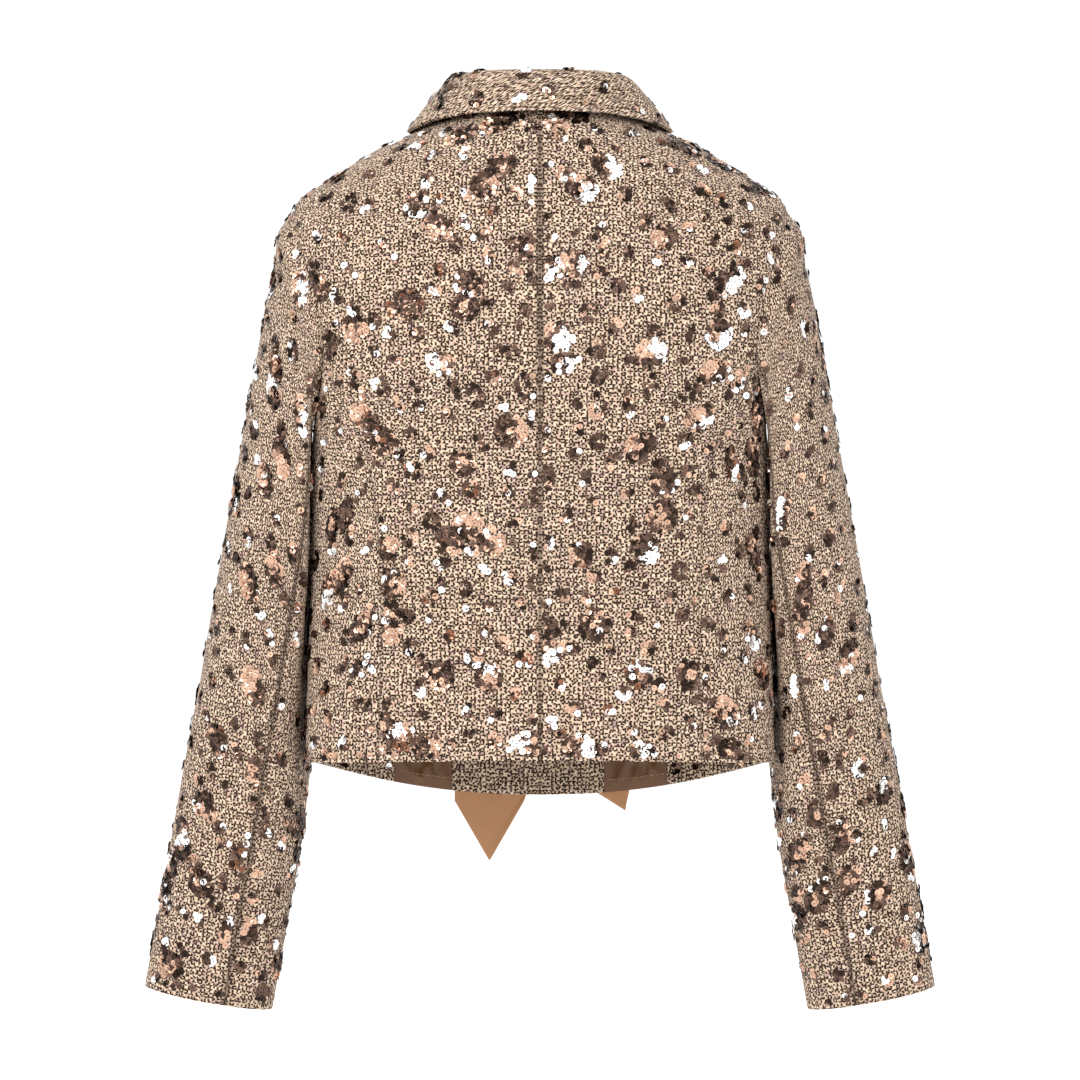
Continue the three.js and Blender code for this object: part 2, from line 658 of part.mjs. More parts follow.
// Width of the ribbon at a distance from its gathers
const ribbonSpread = (share, flare) => mix(RIBBON_GATHER, RIBBON_WIDE, smooth(share, 0, flare));

function addKnot() {
  const geometry = new THREE.SphereGeometry(1, 16, 10);
  geometry.scale(KNOT.wide / 2, KNOT.thick / 2, KNOT.high / 2);
  const rise = frontFace(0, KNOT.z + KNOT.high / 2) - frontFace(0, KNOT.z - KNOT.high / 2);
  geometry.rotateX(-Math.atan2(rise, KNOT.high));
  geometry.translate(0, frontFace(0, KNOT.z) + BOW_MIDDLE, KNOT.z);
  addPiece('ribbon_knot', geometry, 'ribbon');
}

// One loop of the bow: out along its back ply, round its end and home along its front ply
function loopGrid() {
  const root = KNOT.wide / 2 + SEAM_GAP;
  return Array.from({ length: LOOP_STEPS + 1 }, (_, i) => {
    const turn = radians(mix(-90, 90, i / LOOP_STEPS));
    const out = root + LOOP.reach * power(Math.cos(turn), LOOP.bulge);
    const share = (out - root) / LOOP.reach;
    const open = mix(LOOP.root, LOOP.open, smooth(share, 0, RIBBON_FLARE));
    const lift = BOW_MIDDLE + (Math.sin(turn) * open) / 2;
    return Array.from({ length: LOOP_COLUMNS + 1 }, (__, j) => {
      const across = (j / LOOP_COLUMNS - 0.5) * ribbonSpread(share, RIBBON_FLARE);
      const z = KNOT.z - LOOP.droop * share * share + across;
      return new THREE.Vector3(out, frontFace(out, z) + lift, z);
    });
  });
}

function addLoops() {
  addPair('ribbon_loop', loopGrid(), SATIN, 1, 'ribbon');
}

// A tail hangs from under the knot to its cut end, with a soft crease down its middle
function tailGrid({ x, low, point, slant, ply }) {
  const top = KNOT.z - KNOT.high / 2 - SEAM_GAP;
  return Array.from({ length: TAIL_ROWS + 1 }, (_, i) => {
    const share = i / TAIL_ROWS;
    return Array.from({ length: TAIL_COLUMNS + 1 }, (__, j) => {
      const side = (2 * j) / TAIL_COLUMNS - 1;
      const end = low + point * Math.abs(side) - (slant * (Math.sign(x) * side - 1)) / 2;
      const z = mix(top, end, share);
      const centre = mix(Math.sign(x) * TAIL_ROOT, x, smooth(share, 0, TAIL_SPREAD));
      const across = centre + (side * ribbonSpread(share, TAIL_FLARE)) / 2;
      const crease = TAIL_CREASE * (1 - Math.abs(side)) * smooth(share, 0, TAIL_FLARE);
      const laid = LAY_GAP + SATIN + ply * TAIL_PLY + crease;
      const lift = mix(BOW_MIDDLE + ply * TAIL_PLY, laid, smooth(share, 0, TAIL_DROP));
      const face = frontFace(across, Math.max(z, RINGS[0].zSide));
      return new THREE.Vector3(across, face + lift, z);
    });
  });
}

function addTails() {
  TAILS.forEach((tail) => addPiece(tail.name, wall(tailGrid(tail), SATIN, -1), 'ribbon'));
}

addBody();
addSleeves();
addCollar();
addLapels();
addInside();
addKnot();
addLoops();
addTails();

export default blazer;
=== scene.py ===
import math

import bpy
import numpy as np
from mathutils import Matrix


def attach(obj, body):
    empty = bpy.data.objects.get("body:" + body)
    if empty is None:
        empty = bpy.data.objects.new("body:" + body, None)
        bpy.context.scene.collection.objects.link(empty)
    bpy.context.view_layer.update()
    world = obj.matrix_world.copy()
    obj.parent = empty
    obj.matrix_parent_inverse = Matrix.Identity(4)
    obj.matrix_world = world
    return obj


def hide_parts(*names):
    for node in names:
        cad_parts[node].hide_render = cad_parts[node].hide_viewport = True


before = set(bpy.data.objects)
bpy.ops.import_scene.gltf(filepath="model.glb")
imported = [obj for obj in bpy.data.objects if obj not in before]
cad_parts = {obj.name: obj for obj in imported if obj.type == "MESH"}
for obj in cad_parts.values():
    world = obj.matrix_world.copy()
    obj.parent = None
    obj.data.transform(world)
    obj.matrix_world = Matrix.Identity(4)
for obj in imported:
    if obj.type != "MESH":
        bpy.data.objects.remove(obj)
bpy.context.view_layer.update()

bl_info = {
    "name": "Sequinned tweed blazer",
    "version": (1, 0, 0),
    "blender": (4, 5, 0),
    "location": "View3D > Sidebar > Blazer",
    "description": "Cloth panels, sequins, satin ribbon bow and studio stage of a cropped blazer",
    "category": "Add Mesh",
}

MM = 0.001
TINY = 1e-9


def columns_of(names, rows):
    """The columns of a table by name"""
    return {name: np.array([row[k] for row in rows], float) for k, name in enumerate(names)}


def rows_of(names, rows):
    """The rows of a table with their values by name"""
    return [dict(zip(names, row)) for row in rows]


# The photo: its width and height in pixels, millimetres for a pixel, and the origin's row
PHOTO_WIDE = 1080
PHOTO_SCALE = 0.78
PHOTO_ORIGIN_ROW = 128

# Rings round the body in millimetres, from the hem up to the neck seam. z_back, z_side and z_front
# are heights, half is half of the width, back and front are depths, round is the superellipse's
# power.
RING_COLUMNS = ("z_back", "z_side", "z_front", "half", "back", "front", "round")
RING_ROWS = (
    (-490, -494, -524, 183, 84, 87, 2.3),
    (-445, -447, -466, 182, 81, 86, 2.3),
    (-385, -386, -395, 180, 80, 90, 2.3),
    (-320, -320, -322, 179, 86, 102, 2.35),
    (-255, -255, -254, 180, 92, 114, 2.4),
    (-215, -215, -212, 185, 95, 112, 2.4),
    (-173, -173, -168, 189, 96, 104, 2.4),
    (-130, -128, -126, 197, 95, 94, 2.35),
    (-98, -90, -92, 200, 92, 84, 2.3),
    (-70, -62, -66, 192, 85, 74, 2.15),
    (-38, -38, -40, 160, 79, 66, 2.3),
    (-10, -16, -16, 125, 71, 58, 2.15),
    (7, -1, 0, 92, 63, 52, 2.1),
    (14, 12, 10, 70, 58, 47, 2),
)
RING = columns_of(RING_COLUMNS, RING_ROWS)
HEM_SMILE = 2.2
TIP_RING = 9
NECK_RING = len(RING_ROWS) - 1
SEAM_RING = 5

# Armhole and long seams
ARMHOLE_TOP = -62
ARMHOLE_FOOT = -255
ARMHOLE_HALF = 54
PRINCESS_TURN = 105
BACK_PRINCESS = np.array([125, 124, 123, 125, 134, 153], float)
FRONT_PRINCESS = np.array([112, 110, 108, 110, 127, 153], float)
LAPEL_BREAK = -200
ROLL_TOP_ANGLE = 138
ROLL_CURVE = 1.25

# Sleeve: half width and half depth of its tube at heights on its centre line
SLEEVE_COLUMNS = ("z", "half", "depth")
SLEEVE_ROWS = (
    (-100, 51, 54),
    (-240, 51.4, 56),
    (-330, 51.4, 55),
    (-430, 51, 49),
    (-540, 51.4, 43),
    (-681, 51.4, 32),
)
SLEEVE = columns_of(SLEEVE_COLUMNS, SLEEVE_ROWS)
SLEEVE_SPREAD = 0.1817
SLEEVE_FORWARD = 0.095
SLEEVE_CENTRE = {"x": 228.5, "z": -508.6, "y_start": -160}
CUFF_Z = -681
HEAD_LENGTH = 80
UNDERARM_LENGTH = 170
HEAD_BLEND = 22
FOLDS_BELOW_HEAD = 30
FOLDS_ABOVE_CUFF = 40
CLEAR_BELOW_HEM = 60
BODY_CLEARANCE = 3.6
SOFT_CONTACT = 7
EASED_SPREAD = 11.9
BACK_SLEEVE_SEAM = 105
FRONT_SLEEVE_SEAM = -120
EASED_HEAD = 0.09

# Sleeves and side panels reach this many seam laps past the armhole's seam
ARMHOLE_LAPS = 5

# Folds of the sleeves: turn round the tube, height, lean, half width, half length and depth
SLEEVE_FOLD_COLUMNS = ("turn", "z", "run", "wide", "long", "deep")
SLEEVE_FOLDS = (
    (138, -285, -0.06, 22, 52, 6),
    (218, -268, 0.06, 22, 56, 5),
    (74, -300, -0.16, 14, 46, 2.6),
    (150, -415, 0.5, 30, 13, 3),
    (205, -446, -0.5, 34, 13, 3.2),
    (262, -398, 0.4, 26, 15, 2.4),
    (118, -372, 0.55, 24, 10, 1.6),
    (60, -560, 0.3, 30, 18, 1.0),
    (20, -430, -0.4, 26, 20, 0.9),
    (300, -520, 0.35, 28, 16, 1.1),
)

# Soft creases of the body: place, lean in degrees, half width, half length and depth. Positive y
# is the front.
CREASE_COLUMNS = ("x", "face", "z", "lean", "wide", "long", "deep")
BODY_CREASES = (
    (146, -1, -262, 58, 9, 34, 1.8),
    (-148, -1, -258, -60, 9, 32, 1.6),
    (150, -1, -330, 68, 12, 40, 1.3),
    (-151, -1, -345, -64, 12, 36, 1.4),
    (96, -1, -392, 84, 16, 44, 0.9),
    (-88, -1, -402, -82, 15, 40, 0.9),
    (60, -1, -196, 12, 20, 60, 0.8),
    (-66, -1, -182, -10, 20, 62, 0.8),
    (126, 1, -246, 48, 10, 36, 1.8),
    (-128, 1, -250, -50, 10, 36, 1.8),
    (74, 1, -350, 70, 14, 40, 1.2),
    (-78, 1, -344, -72, 14, 38, 1.2),
    (120, 1, -420, 80, 16, 44, 0.9),
    (-116, 1, -428, -78, 16, 42, 0.9),
)

# Collar: stand height, and the reach and height of the fall's edge, at angles round the neck
COLLAR_COLUMNS = ("angle", "stand", "out", "edge")
COLLAR_ROWS = (
    (0, 26, 14, -2),
    (40, 26, 17, -3),
    (64, 24, 25, -7),
    (90, 16, 34, -14.4),
    (115, 11, 36, -16),
    (138, 7, 38, -31),
)
COLLAR = columns_of(COLLAR_COLUMNS, COLLAR_ROWS)
STAND_LEAN = ((0, 0), (0.5, -0.8), (1, -1))
FALL_TURN = ((-2.2, 0.6), (-0.6, 3.2), (3.4, 3.6), (8, 0.6))
FALL_SLOPE = ((0.33, 0.7), (0.66, 0.6), (1, 0))

# Lapel: width at shares of the way up, and its sloping top
LAPEL_UP = (0, 0.35, 0.75, 1)
LAPEL_WIDE = (3, 30, 58, 62)
LAPEL_TOP_INNER = -44
LAPEL_TOP_OUTER = -74
LAPEL_TOP_ANGLE = 150
LAPEL_START = 0.1

# Inside of the front hem: side, and the distances from the centre front that each strip spans
INSIDE_HEIGHT = 58
INSIDE_STRIPS = (
    ("front_facing_left", -1, 0, 70, 1.6, "facing"),
    ("front_lining_left", -1, 70, 116, 1.0, "lining"),
    ("hem_turnup_left", -1, 116, 172, 1.6, "tweed"),
    ("front_facing_right", 1, 0, 51, 1.6, "facing"),
    ("front_lining_right", 1, 51, 101, 1.0, "lining"),
    ("hem_turnup_right", 1, 101, 172, 1.6, "tweed"),
)

# Bow of satin ribbon
KNOT = {"z": -300, "wide": 26, "high": 36, "thick": 16}
RIBBON_WIDE = 62
RIBBON_GATHER = 22
RIBBON_FLARE = 0.45
LOOP = {"reach": 92, "droop": 20, "open": 13, "root": 3.2, "bulge": 0.55}
TAILS = (
    ("ribbon_tail_long", -40, -577, 48, 0, 0),
    ("ribbon_tail_short", 40, -537, 0, 34, 1),
)
TAIL_ROOT = 5
TAIL_FLARE = 0.28
TAIL_SPREAD = 0.9
TAIL_CREASE = 4.5
TAIL_TAPER = 0.12
TAIL_LEAN = 4
TAIL_NARROWS = (0.9, 1.01)
TAIL_LEANS = (0.5, 0.9)
TAIL_PLY = 3.8
TAIL_DROP = 0.16

# Weave: the dark dashes of one repeat of two cells, in cells. upright dashes stand along the warp.
DASH_COLUMNS = ("across", "along", "half_wide", "half_long", "upright")
DASHES = (
    (0.45, 0.50, 0.42, 0.72, 1),
    (1.30, 1.48, 0.40, 0.70, 0),
)
DASH_SHIFT = 1.0
DASH_STRETCH = 0.7
DASH_ROUND = 2.6
# Share by which painted shade darkens the weave along the sewn seams
SEAM_PAINTED_SHADE = 0.85

# Finish of the tweed: sizes in millimetres of what varies, and how much each one does
WARP_SIZES = (5, 4.4)
WARP_CELLS = 1.5
FIBRE = {"size": 0.8, "height": 1.4, "rough": 0.2}
SLUB = {"size": 4, "height": 1.8}
LIT_FROM, LIT_TO = 0.65, 1.5
HUE = {"fleck_size": 6, "fleck": 0.6, "tone": 0.42, "patch_size": 38, "patch": 0.3}
YARN_STOPS = ((0.24, "mauve"), (0.36, "pink"), (0.46, "beige"), (0.55, "cream"), (0.68, "beige"),
              (0.82, "pink"))
TWEED_ROUGH = 0.82
RELIEF = {"limit": 2.5, "depth": 0.5, "strength": 0.7}

# Finish of the satin
SATIN = {"thread": 0.35, "stretch": 0.08, "cloud": 30, "dark": 0.72, "rough": 0.34, "vary": 0.16,
         "relief": 0.12}

# Creases of the lining inside the hem: distance from the centre front, lean and depth
LINING_CREASE_COLUMNS = ("across", "lean", "wide", "deep")
LINING_CREASES = (
    (78, 0.35, 3.0, 2.2),
    (89, -0.5, 2.6, 2.6),
    (98, 0.2, 3.4, 2.0),
    (108, 0.6, 2.8, 2.3),
    (57, -0.3, 3.0, 2.2),
    (66, 0.55, 2.8, 1.8),
    (76, -0.15, 3.6, 2.4),
    (90, 0.45, 3.0, 2.1),
)
LINING_DEPTH = 1.5

# A sheet's area is at least this share of its flat box
LEAST_AREA = 0.305

# Stitches along the lining's lower edge, in millimetres
STITCH = {"up": 10.0, "long": 2.6, "radius": 0.32, "step": 4.4, "sides": 8, "raised": 0.6}

# Sequins: groups stand further apart on the collar. Each sequin is lifted, and tilted at random.
COLLAR_SPACING = 1.45
SEQUIN_SIDES = 8
SEQUIN_LIFT = 0.45
SEQUIN_TILT = 0.16
# Radius share of the painted shade that stands in for each sequin's hole
SEQUIN_HOLE = 0.2
INNER_RING = {"inset": 0.52, "down": 0.6, "under": 0.5}

# Kinds of groups: the share of each, where flowers are taken out of the clumps' share
GROUP_SHARES = {"arc": 0.34, "clump": 0.56, "pair": 0.1}
GROUPS_NEARER, GROUPS_FURTHER = 0.7, 1.3
GROUP_TRIES = 14

# Sizes of the groups in millimetres. rings are distances in from a flower's rim, with the gap
# between sequins. low and vary are how high the sequins lie.
FLOWER = {"rim": (8.0, 11.5), "rings": ((0, 3.1), (2.9, 3.2), (5.6, 3.6)), "heart": (1.6, 4.5),
          "missing": 0.1, "turn": 0.09, "out": 0.6, "low": 0.3, "rise": 0.1}
ARC = {"far": (3.2, 5.6), "reach": (2.4, 5.4), "gap": 2.9, "out": 0.5, "low": 0.3, "vary": 0.25,
       "filled": 0.4, "filling": 0.7}
CLUMP = {"counts": {"clump": (4, 9), "pair": (1, 4)}, "step": (1.0, 1.6), "first": 0.5, "low": 0.35,
         "vary": 0.35}

# Tints: chances, how they fall off round a group, and how much the colours vary
BRONZE = {"low": 0.5, "vary": 3.6, "power": 1.8}
ROSE = {"power": 1.3, "most": 1.2, "wholly": 0.1, "whole": 3.0, "side": (math.pi, 1.1),
        "shade": (0.7, 1.15)}
# Painted glints: sequins painted near white where they would catch the light, mostly on one side of a group
PAINTED_GLINT = {"power": 3.4, "most": 2.2, "side": (-0.5, 1.0)}
# Painted reflections: a few sequins painted orange brown, standing in for warm glints reflected between
# sequins
PAINTED_WARM_GLINT = {"group": 0.05, "many": 0.3, "few": 0.006, "shade": (0.7, 1.4)}
HEART = {"flowers": 0.6, "within": 4, "chance": 0.7, "shade": (0.8, 1.15)}

# Stage in metres: each light's place, size and power, and the point they all face
LIGHTS = (
    ("key", (-2.0, -4.4, 2.6), 1.8, 190),
    ("fill", (2.8, -4.2, 0.8), 2.2, 25),
    ("top", (0.0, -0.6, 3.4), 2.4, 30),
    ("rim", (0.0, 3.4, 2.0), 3.0, 40),
)
LIT_POINT = (0, 0, -0.3)
WORLD_LIGHT = 1.05
FLOOR_RADIUS = 60
FLOOR_WHITE = (0.98, 0.98, 0.98)

# Width of the camera's sensor in millimetres
SENSOR = 36

# Grids and outer signs of the panels and linings that are made, for what is sewn on them
PANELS = {}
LININGS = {}


def length(name, description, default):
    return bpy.props.FloatProperty(name=name, description=description, default=default, unit="LENGTH")


def colour(name, description, *default):
    return bpy.props.FloatVectorProperty(
        name=name, description=description, default=default, subtype="COLOR")


class BlazerCloth(bpy.types.PropertyGroup):
    """Thicknesses and finish of the cloth"""

    tweed: length("Tweed", "Thickness of the tweed", 2.4 * MM)
    collar: length("Collar", "Thickness of the collar's fall", 3 * MM)
    satin: length("Satin", "Thickness of the ribbon", 1.2 * MM)
    seam_lap: length("Seam lap", "How far a panel reaches past its seam", 0.5 * MM)
    lay_gap: length("Lay gap", "Gap under what lies on a panel", 0.4 * MM)
    seam_roll: length("Seam roll", "How far a panel turns in at its seams", 0.9 * MM)
    seam_width: length("Seam width", "How far from the seam the cloth turns in", 3 * MM)
    cell: length("Weave cell", "Size of one crossing of the weave", 1.68 * MM)


class BlazerColours(bpy.types.PropertyGroup):
    """Colours of the yarns, satin and sequins"""

    cream: colour("Cream yarn", "Lightest yarn", 0.72, 0.57, 0.43)
    beige: colour("Beige yarn", "Most of the yarns", 0.50, 0.37, 0.25)
    pink: colour("Pink yarn", "Rosy flecks", 0.53, 0.36, 0.29)
    mauve: colour("Mauve yarn", "Cooler flecks", 0.31, 0.21, 0.19)
    gap: colour("Gaps", "Dark brown between the yarns", 0.024, 0.010, 0.004)
    lining: colour("Lining", "Brown satin", 0.140, 0.064, 0.026)
    ribbon: colour("Ribbon", "Tan satin", 0.46, 0.225, 0.098)
    bronze: colour("Bronze sequin", "Most sequins", 0.045, 0.027, 0.020)
    rose: colour("Rose sequin", "Rosy sequins", 0.66, 0.41, 0.29)
    # Painted highlight: near white colour for sequins that stand in for glints of the light
    painted_glint: colour("Pale sequin", "Bright sequins", 1.0, 0.98, 0.97)
    # Painted reflection: orange brown colour for warm glints reflected between sequins
    painted_warm_glint: colour("Amber sequin", "Orange brown sequins", 0.20, 0.085, 0.048)


class BlazerSequins(bpy.types.PropertyGroup):
    """Size and spacing of the sequins"""

    radius: length("Radius", "Radius of one sequin", 2.6 * MM)
    cup: length("Cup", "Depth of one sequin", 0.45 * MM)
    spacing: length("Spacing", "Distance between groups", 20.5 * MM)
    flowers: bpy.props.FloatProperty(
        name="Flowers", description="Share of the groups that are round flowers", default=0.19,
        subtype="FACTOR")
    seed: bpy.props.IntProperty(name="Seed", description="Seed of the layout", default=7)


class BlazerStage(bpy.types.PropertyGroup):
    """Camera and floor"""

    distance: length("Distance", "From the camera to the garment", 6.5)
    eye: length("Eye height", "Height of the camera", -0.2)
    frame_width: length("Frame width", "Width of the picture at the garment",
                        PHOTO_WIDE * PHOTO_SCALE * MM)
    frame_middle: length("Frame middle", "Height at the middle of the picture",
                         (PHOTO_ORIGIN_ROW - PHOTO_WIDE / 2) * PHOTO_SCALE * MM)
    floor: length("Floor", "Height of the floor", -0.75)


def power(base, exponent):
    return np.power(np.maximum(base, 0), exponent)


def smooth(x, low, high):
    share = np.clip((np.asarray(x, float) - low) / (high - low), 0, 1)
    return share * share * (3 - 2 * share)


def mix(a, b, share):
    return a + (b - a) * share


def unit(vector):
    return vector / np.linalg.norm(vector)


def square_to(vector, normal):
    """The part of a vector that is square to a normal, made one long"""
    return unit(vector - normal * (vector @ normal))


def through(values, place):
    """Value between evenly spaced values, on a curve that never overshoots"""
    values = np.asarray(values, float)
    steps = np.diff(values)
    slope = np.zeros(len(values))
    slope[0], slope[-1] = steps[0], steps[-1]
    same = steps[:-1] * steps[1:] > 0
    total = np.where(same, steps[:-1] + steps[1:], 1)
    slope[1:-1] = np.where(same, 2 * steps[:-1] * steps[1:] / total, 0)
    at = np.clip(np.asarray(place, float), 0, len(values) - 1)
    i = np.minimum(at.astype(int), len(values) - 2)
    u = at - i
    rise, a, b = steps[i], slope[i], slope[i + 1]
    return values[i] + u * a + u * u * (3 * rise - 2 * a - b) + u ** 3 * (a + b - 2 * rise)


def bisect(wanted, low, high, value_at):
    """Root of a rising or falling function between two limits"""
    wanted = np.asarray(wanted, float)
    a = np.full(wanted.shape, float(low))
    b = np.full(wanted.shape, float(high))
    rising = value_at(b) > value_at(a)
    for _ in range(40):
        middle = (a + b) / 2
        ahead = (value_at(middle) < wanted) == rising
        a = np.where(ahead, middle, a)
        b = np.where(ahead, b, middle)
    return (a + b) / 2


def body_point(ring, angle):
    """Point on the body: angle 0 is the centre back, 90 the side, 180 the front"""
    ring, angle = np.broadcast_arrays(np.asarray(ring, float), np.asarray(angle, float))
    at = {name: through(values, ring) for name, values in RING.items()}
    turn = np.radians(angle)
    cosine = np.cos(turn)
    x = at["half"] * power(np.sin(turn), 2 / at["round"])
    depth = np.where(cosine > 0, -at["back"], at["front"])
    y = depth * power(np.abs(cosine), 2 / at["round"])
    middle = np.where(cosine > 0, at["z_back"], at["z_front"])
    z = mix(middle, at["z_side"], power(x / at["half"], HEM_SMILE))
    return np.stack([x, y, z], -1)


def angle_across(ring, across, front):
    """Angle at which a ring is a distance from the centre seam"""
    half = through(RING["half"], ring)
    turn = np.degrees(np.arcsin(np.clip(power(across / half, through(RING["round"], ring) / 2), 0, 1)))
    return 180 - turn if front else turn


def armhole_place(turn):
    """Ring and angle where the armhole's oval has turned from its top, by way of the back"""
    turn = np.asarray(turn, float)
    back = turn <= 180
    centre = (ARMHOLE_TOP + ARMHOLE_FOOT) / 2
    wanted_z = centre + (ARMHOLE_TOP - centre) * np.cos(np.radians(turn))
    wanted_y = ARMHOLE_HALF * np.abs(np.sin(np.radians(turn)))

    def angle_on(ring):
        depth = np.where(back, through(RING["back"], ring), through(RING["front"], ring))
        share = power(wanted_y / depth, through(RING["round"], ring) / 2)
        own = np.degrees(np.arccos(np.clip(share, 0, 1)))
        return np.where(back, own, 180 - own)

    ring = bisect(wanted_z, 3, TIP_RING, lambda r: body_point(r, angle_on(r))[..., 2])
    return ring, angle_on(ring)


def spread(count):
    """Shares from 0 to 1 that stand closer together at both ends"""
    return np.concatenate([[0, 0.012, 0.03], np.linspace(0.06, 0.94, count), [0.97, 0.988, 1]])


BREAK_RING = float(bisect(LAPEL_BREAK, 3, 8, lambda ring: through(RING["z_front"], ring)))


def front_edge(ring):
    up = np.maximum(0, (np.asarray(ring, float) - BREAK_RING) / (NECK_RING - BREAK_RING))
    return mix(180.0, ROLL_TOP_ANGLE, np.power(up, ROLL_CURVE))


def seam_angle(ring, front, junction):
    """Angle of the princess seam up to its meeting with the armhole"""
    seam = FRONT_PRINCESS if front else BACK_PRINCESS
    low = np.minimum(ring, SEAM_RING)
    own = angle_across(low, through(seam, low), front)
    return mix(own, junction[1], (ring - low) / (junction[0] - SEAM_RING))


def panel_turn(front, turn):
    return 360 - turn if front else turn


def centre_panel(front, columns=24):
    junction = [float(v) for v in armhole_place(panel_turn(front, PRINCESS_TURN))]
    lower = np.concatenate([np.linspace(0, SEAM_RING, 56), [mix(SEAM_RING, junction[0], 0.5)]])
    turns = np.linspace(PRINCESS_TURN, 0, 37)
    upper, upper_angle = armhole_place(panel_turn(front, turns))
    shoulder = np.linspace(TIP_RING, NECK_RING, 30)[1:]
    rings = np.concatenate([lower, upper, shoulder])
    outer = np.concatenate([seam_angle(lower, front, junction), upper_angle, np.full(shoulder.shape, 90.0)])
    inner = front_edge(rings) if front else np.zeros(rings.shape)
    share = spread(columns)
    angles = inner[:, None] + (outer - inner)[:, None] * share[None, :]
    return body_point(rings[:, None], angles)


def side_panel(front, columns=13):
    junction = [float(v) for v in armhole_place(panel_turn(front, PRINCESS_TURN))]
    share = np.concatenate([np.linspace(0, 0.96, 66), [0.975, 0.99, 1]])
    steps = share * 11
    lower = np.where(steps <= 10, steps / 2, mix(SEAM_RING, junction[0], steps - 10))
    across = spread(columns)
    turns = PRINCESS_TURN + (180 - PRINCESS_TURN) * across
    top_ring, top_angle = armhole_place(panel_turn(front, turns))
    ring = lower[:, None] * top_ring[None, :] / junction[0]

    def angle_at(rings):
        own = seam_angle(rings * junction[0] / top_ring[None, :], front, junction)
        return mix(own, 90.0, across[None, :])

    lift = share[:, None] ** 3
    angle = angle_at(ring) + (top_angle[None, :] - angle_at(top_ring[None, :])) * lift
    return body_point(ring, angle)


SIDE_RING_STEPS = np.linspace(0, TIP_RING, 400)
SIDE_RING_HEIGHTS = through(RING["z_side"], SIDE_RING_STEPS)


def body_half_at(y, z):
    """Half width of the body with its clearance, at a distance from the side seam and a height"""
    ring = np.interp(z, SIDE_RING_HEIGHTS, SIDE_RING_STEPS)
    depth = np.where(y < 0, through(RING["back"], ring), through(RING["front"], ring)) + BODY_CLEARANCE
    round_ = through(RING["round"], ring)
    half = through(RING["half"], ring) + BODY_CLEARANCE
    return half * power(1 - power(np.abs(y) / depth, round_), 1 / round_)


SLEEVE_AXIS = unit(np.array([SLEEVE_SPREAD, SLEEVE_FORWARD, -1.0]))
SLEEVE_OUT = unit(np.array([1.0, 0.0, SLEEVE_SPREAD]))
SLEEVE_BACK = unit(np.cross(SLEEVE_AXIS, SLEEVE_OUT))
SLEEVE_FOOT = np.array([
    SLEEVE_CENTRE["x"] + SLEEVE_SPREAD * (SLEEVE_CENTRE["z"] - CUFF_Z),
    SLEEVE_FORWARD * (SLEEVE_CENTRE["y_start"] - CUFF_Z),
    CUFF_Z,
])


def tube_point(up, turn):
    """Point on the plain tube of the sleeve, at a distance up its centre line from the cuff"""
    centre = SLEEVE_FOOT - up[..., None] * SLEEVE_AXIS
    centre[..., 1] = np.maximum(centre[..., 1], 0)
    heights = SLEEVE["z"][::-1]
    half = np.interp(centre[..., 2], heights, SLEEVE["half"][::-1])
    depth = np.interp(centre[..., 2], heights, SLEEVE["depth"][::-1])
    turn = np.radians(turn)
    return (centre + (half * np.cos(turn))[..., None] * SLEEVE_OUT
            + (depth * np.sin(turn))[..., None] * SLEEVE_BACK)


def sleeve_fold_depth(turn, z):
    total = np.zeros(np.broadcast(turn, z).shape)
    for fold in rows_of(SLEEVE_FOLD_COLUMNS, SLEEVE_FOLDS):
        place = fold["turn"] + fold["run"] * (fold["z"] - z)
        round_ = (turn - place + 180) % 360 - 180
        along = (z - fold["z"]) / fold["long"]
        total += fold["deep"] * np.exp(-((round_ / fold["wide"]) ** 2 + along ** 2))
    return total


def sleeve_skin(rows=92, step=5):
    """Points of the whole sleeve, rows down from the armhole and columns round the tube"""
    turns = np.arange(FRONT_SLEEVE_SEAM, FRONT_SLEEVE_SEAM + 360, step)
    whole = (turns % 360)[None, :].astype(float)
    down = (0.15 * np.linspace(0, 1, rows) + 0.85 * np.linspace(0, 1, rows) ** 1.15)[:, None]
    start = body_point(*armhole_place(whole))
    start_up = (SLEEVE_FOOT - start) @ SLEEVE_AXIS
    up = start_up * (1 - down)
    point = tube_point(up, whole)
    under = (1 - np.cos(np.radians(whole))) / 2
    fade = mix(HEAD_LENGTH, UNDERARM_LENGTH, under)
    gone = start_up - up
    held = 1 - smooth(gone / fade, 0, 1)
    point += held[..., None] * (start - tube_point(start_up, whole))
    inward = -(np.cos(np.radians(whole))[..., None] * SLEEVE_OUT
               + np.sin(np.radians(whole))[..., None] * SLEEVE_BACK)
    free = smooth(gone, 0, FOLDS_BELOW_HEAD) * (1 - smooth(gone - start_up, -FOLDS_ABOVE_CUFF, 0))
    point += (sleeve_fold_depth(whole, point[..., 2]) * free)[..., None] * inward
    wall = body_half_at(point[..., 1], np.maximum(point[..., 2], RING["z_side"][0]))
    clear = 1 - smooth(RING["z_front"][0] - point[..., 2], 0, CLEAR_BELOW_HEM)
    gap = point[..., 0] - wall
    pressed = wall + (gap + np.sqrt(gap * gap + SOFT_CONTACT ** 2)) / 2
    point[..., 0] = mix(point[..., 0], pressed, smooth(gone, 0, HEAD_BLEND) * clear)
    rounds = round(EASED_SPREAD ** 2 / (0.5 * step * step))
    amount = np.minimum(down / EASED_HEAD, 1) * smooth(-np.cos(np.radians(whole)), -0.5, 0.1)
    for _ in range(rounds):
        middle = (np.roll(point, 1, 1) + np.roll(point, -1, 1)) / 2
        point += 0.5 * amount[..., None] * (middle - point)
    return turns, point


